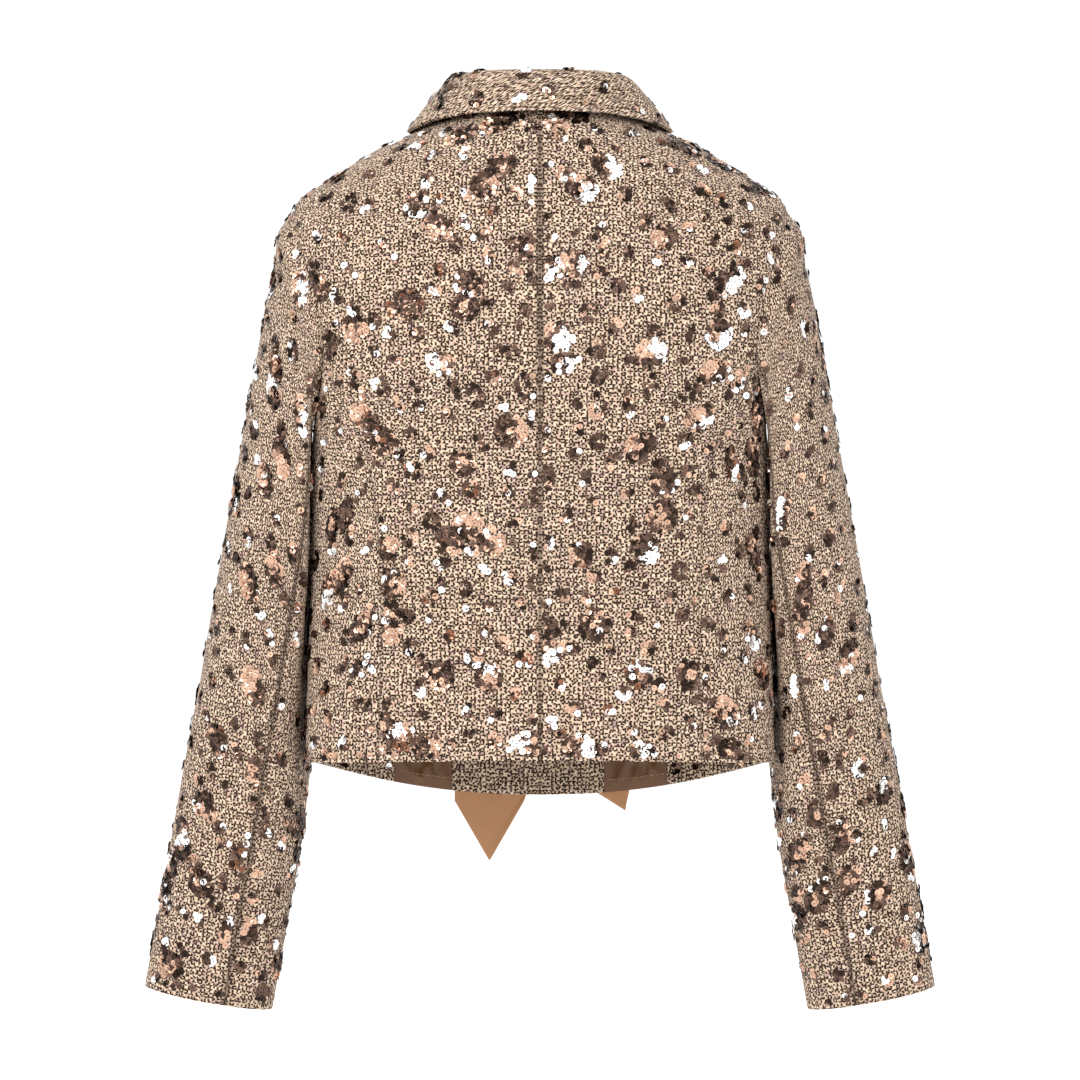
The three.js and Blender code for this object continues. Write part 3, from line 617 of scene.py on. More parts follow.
def grid_normals(points):
    """Normals of a grid by the right hand rule from columns to rows"""
    across = np.gradient(points, axis=1)
    along = np.gradient(points, axis=0)
    normal = np.cross(across, along)
    return normal / np.maximum(np.linalg.norm(normal, axis=-1, keepdims=True), TINY)


def arc_lengths(points, axis):
    step = np.linalg.norm(np.diff(points, axis=axis), axis=-1)
    start = np.zeros_like(np.take(step, [0], axis=axis))
    return np.concatenate([start, np.cumsum(step, axis=axis)], axis=axis)


def lapped(points, sides, lap):
    """The grid with its sewn sides reaching past the seam line, so that no light comes through"""
    out = points.copy()
    for side, axis, edge, near, reach in (
        ("bottom", 0, 0, 1, lap * ARMHOLE_LAPS), ("top", 0, -1, -2, lap * ARMHOLE_LAPS),
        ("start", 1, 0, 1, lap), ("end", 1, -1, -2, lap),
    ):
        if side in sides:
            way = np.take(points, edge, axis) - np.take(points, near, axis)
            way /= np.maximum(np.linalg.norm(way, axis=-1, keepdims=True), TINY)
            line = out[edge] if axis == 0 else out[:, edge]
            line += reach * way
    return out


def seams_rolled(points, outside, sides, depth, width):
    """The grid with its cloth turned in at the sewn sides"""
    across = arc_lengths(points, 1)
    along = arc_lengths(points, 0)
    distances = {
        "start": across, "end": across[:, -1:] - across,
        "bottom": along, "top": along[-1:] - along,
    }
    turned = sum(np.exp(-(distances[side] / width) ** 2) for side in sides)
    return points - outside * (depth * np.minimum(turned, 1))[..., None] * grid_normals(points)


def body_creased(points, outside):
    """The grid of a body panel with its soft creases pressed in"""
    depth = np.zeros(points.shape[:2])
    for crease in rows_of(CREASE_COLUMNS, BODY_CREASES):
        facing = smooth(crease["face"] * points[..., 1], 0, 25)
        lean = math.radians(crease["lean"])
        dx, dz = points[..., 0] - crease["x"], points[..., 2] - crease["z"]
        along = (dx * math.sin(lean) + dz * math.cos(lean)) / crease["long"]
        across = (dx * math.cos(lean) - dz * math.sin(lean)) / crease["wide"]
        depth += crease["deep"] * facing * np.exp(-(along ** 2 + across ** 2))
    return points - outside * depth[..., None] * grid_normals(points)


def lining_creased(points, outside):
    """The lining's grid with soft creases raised off the front, fading out at its sewn edges"""
    rows, columns = points.shape[:2]
    up = np.linspace(0, 1, rows)[:, None]
    across = np.abs(points[..., 0])
    held = np.sin(np.pi * np.linspace(0, 1, columns))[None, :] * smooth(up, 0.02, 0.15)
    depth = np.zeros((rows, columns))
    for crease in rows_of(LINING_CREASE_COLUMNS, LINING_CREASES):
        place = crease["across"] + crease["lean"] * INSIDE_HEIGHT * (up - 0.3)
        depth += LINING_DEPTH * crease["deep"] * np.exp(-((across - place) / crease["wide"]) ** 2)
    return points + outside * (depth * held)[..., None] * grid_normals(points)


def neck_place(angle):
    """Places round the neck seam and the directions that point out from it"""
    side = np.where(angle < 0, -1.0, 1.0)
    step = 0.25

    def at(a):
        point = body_point(NECK_RING, np.abs(a))
        point[..., 0] *= np.where(a < 0, -1.0, 1.0)
        return point

    along = at(angle + step) - at(angle - step)
    along[..., 2] = 0
    along /= np.linalg.norm(along, axis=-1, keepdims=True)
    out = np.stack([along[..., 1], -along[..., 0], np.zeros(along.shape[:-1])], -1)
    return at(angle), out


def curve_through(points, count):
    """Evenly spaced points on a smooth curve through a short row of points, along its second axis"""
    points = np.asarray(points, float)
    steps = np.linspace(0, points.shape[1] - 1, count)
    i = np.minimum(steps.astype(int), points.shape[1] - 2)
    u = (steps - i)[None, :, None]
    padded = np.concatenate([
        2 * points[:, :1] - points[:, 1:2], points, 2 * points[:, -1:] - points[:, -2:-1]], axis=1)
    a, b, c, d = (padded[:, i + k] for k in range(4))
    return 0.5 * (2 * b + (c - a) * u + (2 * a - 5 * b + 4 * c - d) * u ** 2
                  + (3 * b - a - 3 * c + d) * u ** 3)


def collar_grid(profile, rows, columns=84):
    """Rows from the profile's first point to its last, columns round the neck"""
    end = COLLAR["angle"][-1]
    angles = np.linspace(-end, end, columns + 1)
    point, out = neck_place(angles)
    turn = np.abs(angles)
    at = {name: np.interp(turn, COLLAR["angle"], COLLAR[name]) for name in ("stand", "out", "edge")}
    pairs = profile(at["stand"], at["out"], at["edge"])
    away = np.stack([np.broadcast_to(a, angles.shape) for a, _ in pairs], -1)
    high = np.stack([np.broadcast_to(h, angles.shape) for _, h in pairs], -1)
    up = np.array([0.0, 0.0, 1.0])
    coarse = point[:, None] + away[..., None] * out[:, None] + high[..., None] * up
    return curve_through(coarse, rows).transpose(1, 0, 2)


def stand_profile(stand, out, edge):
    return [(away, mix(0.3, stand, share)) for share, away in STAND_LEAN]


def fall_profile(stand, out, edge):
    turn = [(away, stand + above) for away, above in FALL_TURN]
    bend_out, bend_high = turn[-1]
    slope = [(mix(bend_out, out, share) + swell, mix(bend_high, edge, share) + swell)
             for share, swell in FALL_SLOPE]
    return turn + slope


def lapel_grid(rows=44, columns=18):
    def top_ring(height):
        return float(bisect(height, BREAK_RING, NECK_RING, lambda r: body_point(r, LAPEL_TOP_ANGLE)[..., 2]))

    up = np.linspace(0, 1, rows + 1)[:, None]
    out = np.linspace(0, 1, columns + 1)[None, :]
    top = mix(top_ring(LAPEL_TOP_INNER), top_ring(LAPEL_TOP_OUTER), out)
    ring = mix(BREAK_RING + LAPEL_START, top, up)
    inner = front_edge(ring)
    wide = np.interp(up, LAPEL_UP, LAPEL_WIDE) * out
    across = body_point(ring, inner)[..., 0] + wide
    return body_point(ring, angle_across(ring, across, True))


def front_face(x, z):
    """Height of the front's outer face above y = 0"""
    ring = bisect(z, 0, TIP_RING, lambda r: body_point(r, angle_across(r, np.abs(x), True))[..., 2])
    return body_point(ring, angle_across(ring, np.abs(x), True))[..., 1]


def ribbon_spread(share, flare):
    return mix(RIBBON_GATHER, RIBBON_WIDE, smooth(share, 0, flare))


def deselect():
    bpy.ops.object.select_all(action="DESELECT")


def activate(obj):
    deselect()
    obj.select_set(True)
    bpy.context.view_layer.objects.active = obj


def add_modifier(obj, kind, **settings):
    """Add a modifier, set it and apply it"""
    activate(obj)
    bpy.ops.object.modifier_add(type=kind)
    modifier = obj.modifiers[-1]
    for name, value in settings.items():
        setattr(modifier, name, value)
    bpy.ops.object.modifier_apply(modifier=modifier.name)


def cloth_from_grid(name, points, outside, uv, thickness, finishes, edge=0.8, tube=False, seam=None):
    """A wall of cloth whose outer face is the grid, in millimetres"""
    if outside < 0:
        points, uv = points[:, ::-1], uv[:, ::-1]
        seam = seam if seam is None else seam[:, ::-1]
    rows, columns = points.shape[:2]
    deselect()
    bpy.ops.mesh.primitive_grid_add(x_subdivisions=columns - 1, y_subdivisions=rows - 1, size=1)
    obj = bpy.context.object
    obj.name = obj.data.name = f"{name}_cloth"
    mesh = obj.data
    mesh.vertices.foreach_set("co", (points * MM).reshape(-1).astype(np.float32))
    corner = np.zeros(len(mesh.loops), int)
    mesh.loops.foreach_get("vertex_index", corner)
    layer = mesh.uv_layers[0] if mesh.uv_layers else mesh.uv_layers.new(name="UVMap")
    layer.data.foreach_set("uv", (uv * MM).reshape(-1, 2)[corner].reshape(-1).astype(np.float32))
    mesh.update()
    # seam is a painted shade mask: 1 on the edge columns of sewn seams, kept on the points for the weave
    if seam is not None:
        line = mesh.attributes.new("seam_line", "FLOAT", "POINT")
        line.data.foreach_set("value", seam.reshape(-1).astype(np.float32))
    for finish in finishes:
        mesh.materials.append(finish)
    if tube:
        bpy.ops.object.mode_set(mode="EDIT")
        bpy.ops.mesh.select_all(action="SELECT")
        bpy.ops.mesh.remove_doubles(threshold=0.01 * MM)
        bpy.ops.object.mode_set(mode="OBJECT")
    add_modifier(obj, "SOLIDIFY", thickness=thickness * MM, offset=-1,
                 material_offset=len(finishes) - 1)
    if edge:
        add_modifier(obj, "BEVEL", width=edge * MM, segments=2, limit_method="ANGLE",
                     angle_limit=math.radians(55))
    activate(obj)
    bpy.ops.object.shade_smooth_by_angle(angle=math.radians(50))
    return obj


def finish_cloth(obj, node, points, flat_width=None):
    """Attach the piece to what it rides on and hide the part that it stands for. Its flat area is worked out
    but not kept
    """
    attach(obj, "root")
    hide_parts(node)
    across, along = arc_lengths(points, 1)[:, -1], arc_lengths(points, 0)[-1]
    width, length = (flat_width or float(across.max())) * MM, float(along.max()) * MM
    a, b = points[1:, 1:] - points[:-1, :-1], points[1:, :-1] - points[:-1, 1:]
    area = float(np.linalg.norm(np.cross(a, b), axis=-1).sum() / 2) * MM * MM
    whole = width * length
    round(min(max(area, LEAST_AREA * whole), whole), 5)


def body_uv(points):
    across = arc_lengths(points, 1)
    along = arc_lengths(points, 0)
    return np.stack([across, along + points[:1, :, 2]], -1)


def grid_at(points, place):
    """Point between the points of a grid, at a place given in rows and columns"""
    rows, columns = points.shape[:2]
    i = min(max(int(place[0]), 0), rows - 2)
    j = min(max(int(place[1]), 0), columns - 2)
    s, t = place[0] - i, place[1] - j
    return ((1 - s) * ((1 - t) * points[i, j] + t * points[i, j + 1])
            + s * ((1 - t) * points[i + 1, j] + t * points[i + 1, j + 1]))


def sides(base):
    """The right piece's side and then the left one's"""
    return ((f"{base}_right", 1), (f"{base}_left", -1))


def for_side(points, outside, side):
    """The right grid as it is, or its mirror image, with the sign of its outer face"""
    return (points, outside) if side > 0 else (points * np.array([-1.0, 1.0, 1.0]), -outside)


class Value:
    """A shader socket that adds Math nodes where it is used in an expression"""

    def __init__(self, shader, socket):
        self.shader = shader
        self.socket = socket

    def __add__(self, other):
        return self.shader.math("ADD", self, other)

    __radd__ = __add__

    def __mul__(self, other):
        return self.shader.math("MULTIPLY", self, other)

    __rmul__ = __mul__

    def __sub__(self, other):
        return self.shader.math("SUBTRACT", self, other)

    def __rsub__(self, other):
        return self.shader.math("SUBTRACT", other, self)

    def __truediv__(self, other):
        return self.shader.math("DIVIDE", self, other)

    def __pow__(self, other):
        return self.shader.math("POWER", self, other)

    def __lt__(self, other):
        return self.shader.math("LESS_THAN", self, other)

    def __gt__(self, other):
        return self.shader.math("GREATER_THAN", self, other)

    def __abs__(self):
        return self.shader.math("ABSOLUTE", self)


class Shader:
    """A material and the one way in which its nodes are added"""

    def __init__(self, name):
        self.material = bpy.data.materials.new(name)
        self.material.use_nodes = True
        self.nodes = self.material.node_tree.nodes
        self.links = self.material.node_tree.links
        self.surface = self.nodes["Principled BSDF"]

    def node(self, kind, settings=None, out=0, **values):
        node = self.nodes.new(kind)
        for name, value in (settings or {}).items():
            if name == "stops":
                self.set_stops(node.color_ramp, value)
            else:
                setattr(node, name, value)
        for name, value in values.items():
            key = name.replace("_", " ")
            socket = node.inputs[int(key[1:])] if key[0] == "n" and key[1:].isdigit() else node.inputs[key]
            self.put(socket, value)
        return Value(self, node.outputs[out])

    def set_stops(self, ramp, stops):
        while len(ramp.elements) < len(stops):
            ramp.elements.new(1)
        for element, (place, colour) in zip(ramp.elements, stops):
            element.position = place
            element.color = (*colour[:3], 1)

    def put(self, socket, value):
        if isinstance(value, Value):
            self.links.new(value.socket, socket)
        elif hasattr(value, "__len__") and len(socket.default_value) == 4:
            socket.default_value = (*value[:3], 1)
        else:
            socket.default_value = value

    def math(self, operation, *values):
        values = {f"n{k}": value for k, value in enumerate(values)}
        return self.node("ShaderNodeMath", {"operation": operation}, **values)

    def blend(self, share, first, second):
        """Colours mixed by a share"""
        return self.node("ShaderNodeMix", {"data_type": "RGBA"}, out=2, n0=share, n6=first, n7=second)

    def noise(self, where, size, detail=2.0, roughness=0.5):
        """Noise whose size is in millimetres"""
        return self.node("ShaderNodeTexNoise", {"noise_dimensions": "3D"}, Vector=where,
                         Scale=1 / (size * MM), Detail=detail, Roughness=roughness)

    def split(self, vector):
        """The three parts of a vector or colour"""
        first = self.node("ShaderNodeSeparateXYZ", Vector=vector)
        return [Value(self, socket) for socket in first.socket.node.outputs]

    def uv(self):
        """The cloth's own map in metres, as two values and a vector"""
        vector = self.node("ShaderNodeTexCoord", out=2)
        across, along, _ = self.split(vector)
        return across, along, vector

    def spot(self):
        return self.node("ShaderNodeTexCoord", out=3)

    def set(self, **values):
        for name, value in values.items():
            self.put(self.surface.inputs[name.replace("_", " ")], value)

    def bump(self, height, distance, strength=1.0):
        self.set(Normal=self.node("ShaderNodeBump", Height=height, Distance=distance, Strength=strength))


def dash_distance(shader, x, y, dash):
    """How far a place is from the nearest of one kind of dash, where 1 is the dash's edge"""
    a, b = (x - dash["across"]) / 2, (y - dash["along"]) / 2
    column, line = shader.math("FLOOR", a), shader.math("FLOOR", b)
    tile = shader.node("ShaderNodeCombineXYZ", n0=column, n1=line, n2=float(dash["upright"]))
    chance = shader.node("ShaderNodeTexWhiteNoise", {"noise_dimensions": "3D"}, out=1, Vector=tile)
    shift_x, shift_y, longer = shader.split(chance)
    near = abs((a - column) * 2 - 1 + (shift_x - 0.5) * DASH_SHIFT)
    end = abs((b - line) * 2 - 1 + (shift_y - 0.5) * DASH_SHIFT)
    stretch = 1 + (longer - 0.5) * DASH_STRETCH
    wide, tall = dash["half_wide"], stretch * dash["half_long"]
    if not dash["upright"]:
        wide, tall = tall, wide
    return (near / wide) ** DASH_ROUND + (end / tall) ** DASH_ROUND


def tweed_material(name, cloth, colours):
    """Light yarns that step to and fro between short dark dashes, upright and level by turns, with painted
    shade along the sewn seams
    """
    shader = Shader(name)
    u, v, _ = shader.uv()
    spot = shader.spot()
    warp = [(shader.noise(spot, size) - 0.5) * WARP_CELLS for size in WARP_SIZES]
    x = u / cloth.cell + warp[0]
    y = v / cloth.cell + warp[1]
    fibre = shader.noise(spot, FIBRE["size"], roughness=0.7)
    slub = shader.noise(spot, SLUB["size"], detail=1.0)
    dashes = rows_of(DASH_COLUMNS, DASHES)
    away = shader.math("MINIMUM", *(dash_distance(shader, x, y, dash) for dash in dashes))
    height = away + (fibre - 0.5) * FIBRE["height"] + (slub - 0.5) * SLUB["height"]
    lit = shader.node("ShaderNodeMapRange", {"interpolation_type": "SMOOTHSTEP"},
                      Value=height, n1=LIT_FROM, n2=LIT_TO)
    column, row = shader.math("FLOOR", x), shader.math("FLOOR", y)
    cell = shader.node("ShaderNodeCombineXYZ", n0=column, n1=row)
    tone = shader.node("ShaderNodeTexWhiteNoise", {"noise_dimensions": "3D"}, Vector=cell)
    fleck = shader.noise(spot, HUE["fleck_size"])
    patch = shader.noise(spot, HUE["patch_size"])
    hue = fleck * HUE["fleck"] + tone * HUE["tone"] + (patch - 0.5) * HUE["patch"]
    stops = [(place, getattr(colours, name)) for place, name in YARN_STOPS]
    yarns = shader.node("ShaderNodeValToRGB", {"stops": stops}, Fac=hue)
    # Painted shade: the weave darkens towards the gap colour along the sewn seams
    seam = shader.node("ShaderNodeAttribute", {"attribute_name": "seam_line"}, out=2)
    lit = lit * (1 - seam * SEAM_PAINTED_SHADE)
    shader.set(
        Base_Color=shader.blend(lit, colours.gap, yarns),
        Roughness=TWEED_ROUGH + (fibre - 0.5) * FIBRE["rough"],
        Specular_IOR_Level=0.2, Sheen_Weight=0.03, Sheen_Roughness=0.5)
    shader.bump(shader.math("MINIMUM", height, RELIEF["limit"]), RELIEF["depth"] * MM, RELIEF["strength"])
    return shader.material


def satin_material(name, colour):
    """Satin with faint long floats and a soft gloss"""
    shader = Shader(name)
    vector = shader.uv()[2]
    spot = shader.spot()
    stretched = shader.node("ShaderNodeMapping", Vector=vector, Scale=(1, SATIN["stretch"], 1))
    floats = shader.noise(stretched, SATIN["thread"])
    cloud = shader.noise(spot, SATIN["cloud"])
    darker = tuple(SATIN["dark"] * c for c in colour)
    shader.set(
        Base_Color=shader.blend(cloud * 0.5 + floats * 0.25, colour, darker),
        Roughness=SATIN["rough"] + (floats - 0.5) * SATIN["vary"],
        Specular_IOR_Level=0.3, Anisotropic=0.4)
    shader.bump(floats, SATIN["relief"] * MM, 0.5)
    return shader.material


def sequin_material(name):
    """Thin glossy cups, tinted one by one, with painted shade standing in for the hole in the middle"""
    shader = Shader(name)
    tint = shader.node("ShaderNodeAttribute", {"attribute_name": "sequin_tint"})
    radius = Value(shader, tint.socket.node.outputs[3])
    # Painted shade: a near black disc in the middle stands in for the shaded hole, which is not modelled
    painted_hole_shade = radius < SEQUIN_HOLE
    shader.set(
        Base_Color=shader.blend(painted_hole_shade, tint, (0.01, 0.006, 0.005)),
        Roughness=0.24 + painted_hole_shade * 0.5,
        Metallic=0.92)
    return shader.material


def material(name, maker, *args):
    return bpy.data.materials.get(name) or maker(name, *args)


def tweed(context):
    scene = context.scene
    return material("basket_weave_tweed", tweed_material, scene.blazer_cloth, scene.blazer_colours)


def lining(context):
    return material("brown_satin", satin_material, tuple(context.scene.blazer_colours.lining))


def ribbon(context):
    return material("tan_satin", satin_material, tuple(context.scene.blazer_colours.ribbon))


def tweed_panel(context, name, points, outside, seams, thickness=None,
                uv=None, sequins=True, inside=None):
    """A finished tweed panel, kept for the sequins that are sewn on it"""
    cloth = context.scene.blazer_cloth
    uv = body_uv(points) if uv is None else uv
    shaped = seams_rolled(points, outside, seams, cloth.seam_roll / MM, cloth.seam_width / MM)
    shaped = lapped(shaped, seams, cloth.seam_lap / MM)
    finishes = [tweed(context)] + ([inside] if inside else [])
    # Painted shade along the sewn side seams: 1 on the edge columns of the start and end seams
    seam = np.zeros(points.shape[:2])
    for edge, line in (("start", seam[:, 0]), ("end", seam[:, -1])):
        line[:] = float(edge in seams)
    obj = cloth_from_grid(name, shaped, outside, uv, thickness or cloth.tweed / MM, finishes, seam=seam)
    finish_cloth(obj, name, shaped)
    if sequins:
        PANELS[name] = (shaped, outside)
    return obj


def body_panels(context, outside, rows):
    """The right and left body panels, with lining on their inner faces"""
    for base, grid, seams in rows:
        for name, side in sides(base):
            points, outer = for_side(grid, outside, side)
            tweed_panel(context, name, body_creased(points, outer), outer, seams, inside=lining(context))


class BLAZER_OT_back(bpy.types.Operator):
    """Back centre and back side panels"""

    bl_idname = "blazer.back"
    bl_label = "Back"

    def execute(self, context):
        body_panels(context, 1, (
            ("back_centre", centre_panel(False), ("start", "end")),
            ("back_side", side_panel(False), ("start", "end", "top")),
        ))
        return {"FINISHED"}


class BLAZER_OT_fronts(bpy.types.Operator):
    """Front centre and front side panels"""

    bl_idname = "blazer.fronts"
    bl_label = "Fronts"

    def execute(self, context):
        body_panels(context, -1, (
            ("front_centre", centre_panel(True), ("end",)),
            ("front_side", side_panel(True), ("start", "end", "top")),
        ))
        return {"FINISHED"}


class BLAZER_OT_sleeves(bpy.types.Operator):
    """Two-piece sleeves"""

    bl_idname = "blazer.sleeves"
    bl_label = "Sleeves"

    def execute(self, context):
        turns, skin = sleeve_skin()
        closed = np.concatenate([skin, skin[:, :1]], axis=1)
        all_turns = np.append(turns, turns[0] + 360)
        for base, low, high in (
            ("sleeve_top", FRONT_SLEEVE_SEAM, BACK_SLEEVE_SEAM),
            ("sleeve_under", BACK_SLEEVE_SEAM, FRONT_SLEEVE_SEAM + 360),
        ):
            grid = closed[:, (all_turns >= low) & (all_turns <= high)]
            across = arc_lengths(grid, 1)
            up = arc_lengths(grid[::-1], 0)[::-1]
            uv = np.stack([across - across[:, -1:] / 2, up], -1)
            for name, side in sides(base):
                points, outside = for_side(grid, 1, side)
                tweed_panel(context, name, points, outside, ("start", "end", "bottom"), uv=uv,
                            inside=lining(context))
        return {"FINISHED"}


class BLAZER_OT_collar(bpy.types.Operator):
    """Collar stand and fall"""

    bl_idname = "blazer.collar"
    bl_label = "Collar"

    def execute(self, context):
        cloth = context.scene.blazer_cloth
        tweed_panel(context, "collar_stand", collar_grid(stand_profile, 9), 1, (), sequins=False)
        tweed_panel(context, "collar_fall", collar_grid(fall_profile, 30), -1, (),
                    thickness=cloth.collar / MM)
        return {"FINISHED"}


class BLAZER_OT_lapels(bpy.types.Operator):
    """Notched lapels"""

    bl_idname = "blazer.lapels"
    bl_label = "Lapels"

    def execute(self, context):
        cloth = context.scene.blazer_cloth
        grid = lapel_grid()
        grid = grid - (cloth.lay_gap + cloth.tweed) / MM * grid_normals(grid)
        for name, side in sides("lapel"):
            points, outside = for_side(grid, -1, side)
            tweed_panel(context, name, points, outside, ())
        return {"FINISHED"}


class BLAZER_OT_inside_hem(bpy.types.Operator):
    """Facings, lining and turned-up hem inside the fronts"""

    bl_idname = "blazer.inside_hem"
    bl_label = "Inside hem"

    def execute(self, context):
        cloth = context.scene.blazer_cloth
        heights = RING["z_front"]
        top = float(bisect(heights[0] + INSIDE_HEIGHT, 0, 3, lambda r: through(heights, r)))
        for name, side, start, end, thick, kind in INSIDE_STRIPS:
            ring = np.linspace(0, top, 16)[:, None]
            grid = body_point(ring, angle_across(ring, mix(start, end, spread(14))[None, :], True))
            grid = grid + ((cloth.tweed + cloth.lay_gap) / MM + thick) * grid_normals(grid)
            points, outside = for_side(grid, 1, side)
            if kind == "lining":
                points = lining_creased(points, outside)
                obj = cloth_from_grid(name, points, outside, body_uv(points), thick, [lining(context)])
                finish_cloth(obj, name, points)
                LININGS[name] = (points, outside)
            else:
                tweed_panel(context, name, points, outside, (), thickness=thick,
                            sequins=kind == "tweed")
        return {"FINISHED"}


class BLAZER_OT_bow(bpy.types.Operator):
    """Knot, loops and tails of the satin ribbon"""

    bl_idname = "blazer.bow"
    bl_label = "Ribbon bow"

    def execute(self, context):
        cloth = context.scene.blazer_cloth
        satin = cloth.satin / MM
        middle = cloth.lay_gap / MM + KNOT["thick"] / 2
        self.knot(context, middle)
        loop = self.loop_grid(middle)
        for name, side in sides("ribbon_loop"):
            self.strip(context, name, *for_side(loop, 1, side), "gathered")
        for name, *shape in TAILS:
            grid = self.tail_grid(middle, satin, cloth.lay_gap / MM, *shape)
            self.strip(context, name, grid, -1, "hung", flat_width=RIBBON_WIDE)
        return {"FINISHED"}

    def strip(self, context, name, points, outside, held, flat_width=None):
        """A loop or a tail, made of the ribbon's own cloth"""
        width = arc_lengths(points, 1)
        uv = np.stack([width - width[:, -1:] / 2, arc_lengths(points, 0)], -1)
        satin = context.scene.blazer_cloth.satin / MM
        obj = cloth_from_grid(name, points, outside, uv, satin, [ribbon(context)], edge=0.4)
        finish_cloth(obj, name, points, flat_width=flat_width)

    def knot(self, context, middle, rows=48, columns=96):
        """The ribbon wrapped round the middle of the bow, in soft pleats that narrow at both ends"""
        up = np.linspace(-1, 1, rows + 1)[:, None]
        turn = np.linspace(0, 2 * np.pi, columns + 1)[None, :]
        barrel = power(1 - 0.96 * up ** 4, 0.5)
        pleat = 0.05 * np.sin(7 * turn + 1.2 * up) + 0.03 * np.sin(3 * turn - 2 * up)
        girth = barrel * (1 + pleat - 0.08 * (1 - up ** 2)) / 1.08
        x = KNOT["wide"] / 2 * girth * np.sin(turn)
        y = KNOT["thick"] / 2 * girth * np.cos(turn)
        z = KNOT["high"] / 2 * up + 0 * turn
        low, high = (float(front_face(0, KNOT["z"] + s * KNOT["high"] / 2)) for s in (-1, 1))
        lean = -math.atan2(high - low, KNOT["high"])
        grid = np.stack([
            x,
            y * math.cos(lean) - z * math.sin(lean) + float(front_face(0, KNOT["z"])) + middle,
            y * math.sin(lean) + z * math.cos(lean) + KNOT["z"],
        ], -1)
        uv = np.stack([arc_lengths(grid, 0), arc_lengths(grid, 1)], -1)
        satin = context.scene.blazer_cloth.satin / MM
        obj = cloth_from_grid("ribbon_knot", grid, -1, uv, satin, [ribbon(context)], edge=0, tube=True)
        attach(obj, "root")
        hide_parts("ribbon_knot")

    def loop_grid(self, middle, rows=72, columns=26):
        root = KNOT["wide"] / 2 + 0.3
        turn = np.radians(np.linspace(-90, 90, rows + 1))[:, None]
        out = root + LOOP["reach"] * power(np.cos(turn), LOOP["bulge"])
        share = (out - root) / LOOP["reach"]
        opened = mix(LOOP["root"], LOOP["open"], smooth(share, 0, RIBBON_FLARE))
        lift = middle + np.sin(turn) * opened / 2
        side = np.linspace(-0.5, 0.5, columns + 1)[None, :]
        z = KNOT["z"] - LOOP["droop"] * share ** 2 + side * ribbon_spread(share, RIBBON_FLARE)
        pleats = 1.1 * np.sin(side * 22 + 1.3 * np.sin(side * 5)) * np.exp(-(share / 0.4) ** 2)
        wave = 1.6 * np.sin(side * 4.5 + 0.6) * np.sin(np.clip(share, 0, 1) * math.pi)
        face = front_face(out + 0 * side, z)
        y = face + lift + np.sign(np.sin(turn)) * pleats * 0.6 + wave * np.maximum(np.sin(turn), 0)
        return np.stack([out + 0 * side, y, z], -1)

    def tail_grid(self, middle, satin, gap, x, low, point, slant, ply, rows=64, columns=20):
        top = KNOT["z"] - KNOT["high"] / 2 - 0.3
        share = np.linspace(0, 1, rows + 1)[:, None]
        side = np.linspace(-1, 1, columns + 1)[None, :]
        end = low + point * np.abs(side) - slant * (np.sign(x) * side - 1) / 2
        z = mix(top, end, share)
        near_end = smooth(share, *TAIL_NARROWS)
        centre = mix(np.sign(x) * TAIL_ROOT, x, smooth(share, 0, TAIL_SPREAD))
        centre = centre + TAIL_LEAN * (1 - near_end) * smooth(share, *TAIL_LEANS) * (slant == 0)
        across = centre + side * ribbon_spread(share, TAIL_FLARE) / 2 * (1 - TAIL_TAPER * near_end)
        crease = TAIL_CREASE * (1 - np.abs(side)) * smooth(share, 0, TAIL_FLARE)
        laid = gap + satin + ply * TAIL_PLY + crease
        lift = mix(middle + ply * TAIL_PLY, laid, smooth(share, 0, TAIL_DROP))
        pleats = 0.7 * np.sin(side * 11) * np.exp(-(share / 0.14) ** 2)
        face = front_face(across, np.maximum(z, RING["z_side"][0]))
        return np.stack([across, face + lift + pleats, z], -1)


def polar(out, turn, lift):
    return out * math.cos(turn), out * math.sin(turn), lift


def facing(turn, side):
    """From 1 towards a side to 0 away from it"""
    return 0.5 + 0.5 * math.cos(turn - side)


def small_parts(context, name, verts, polygons, finish):
    """One piece made of many small parts, with its points in metres"""
    mesh = bpy.data.meshes.new(name)
    mesh.from_pydata(np.vstack(verts).tolist(), [], polygons)
    mesh.materials.append(finish)
    obj = bpy.data.objects.new(name, mesh)
    context.collection.objects.link(obj)
    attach(obj, "root")
    return mesh


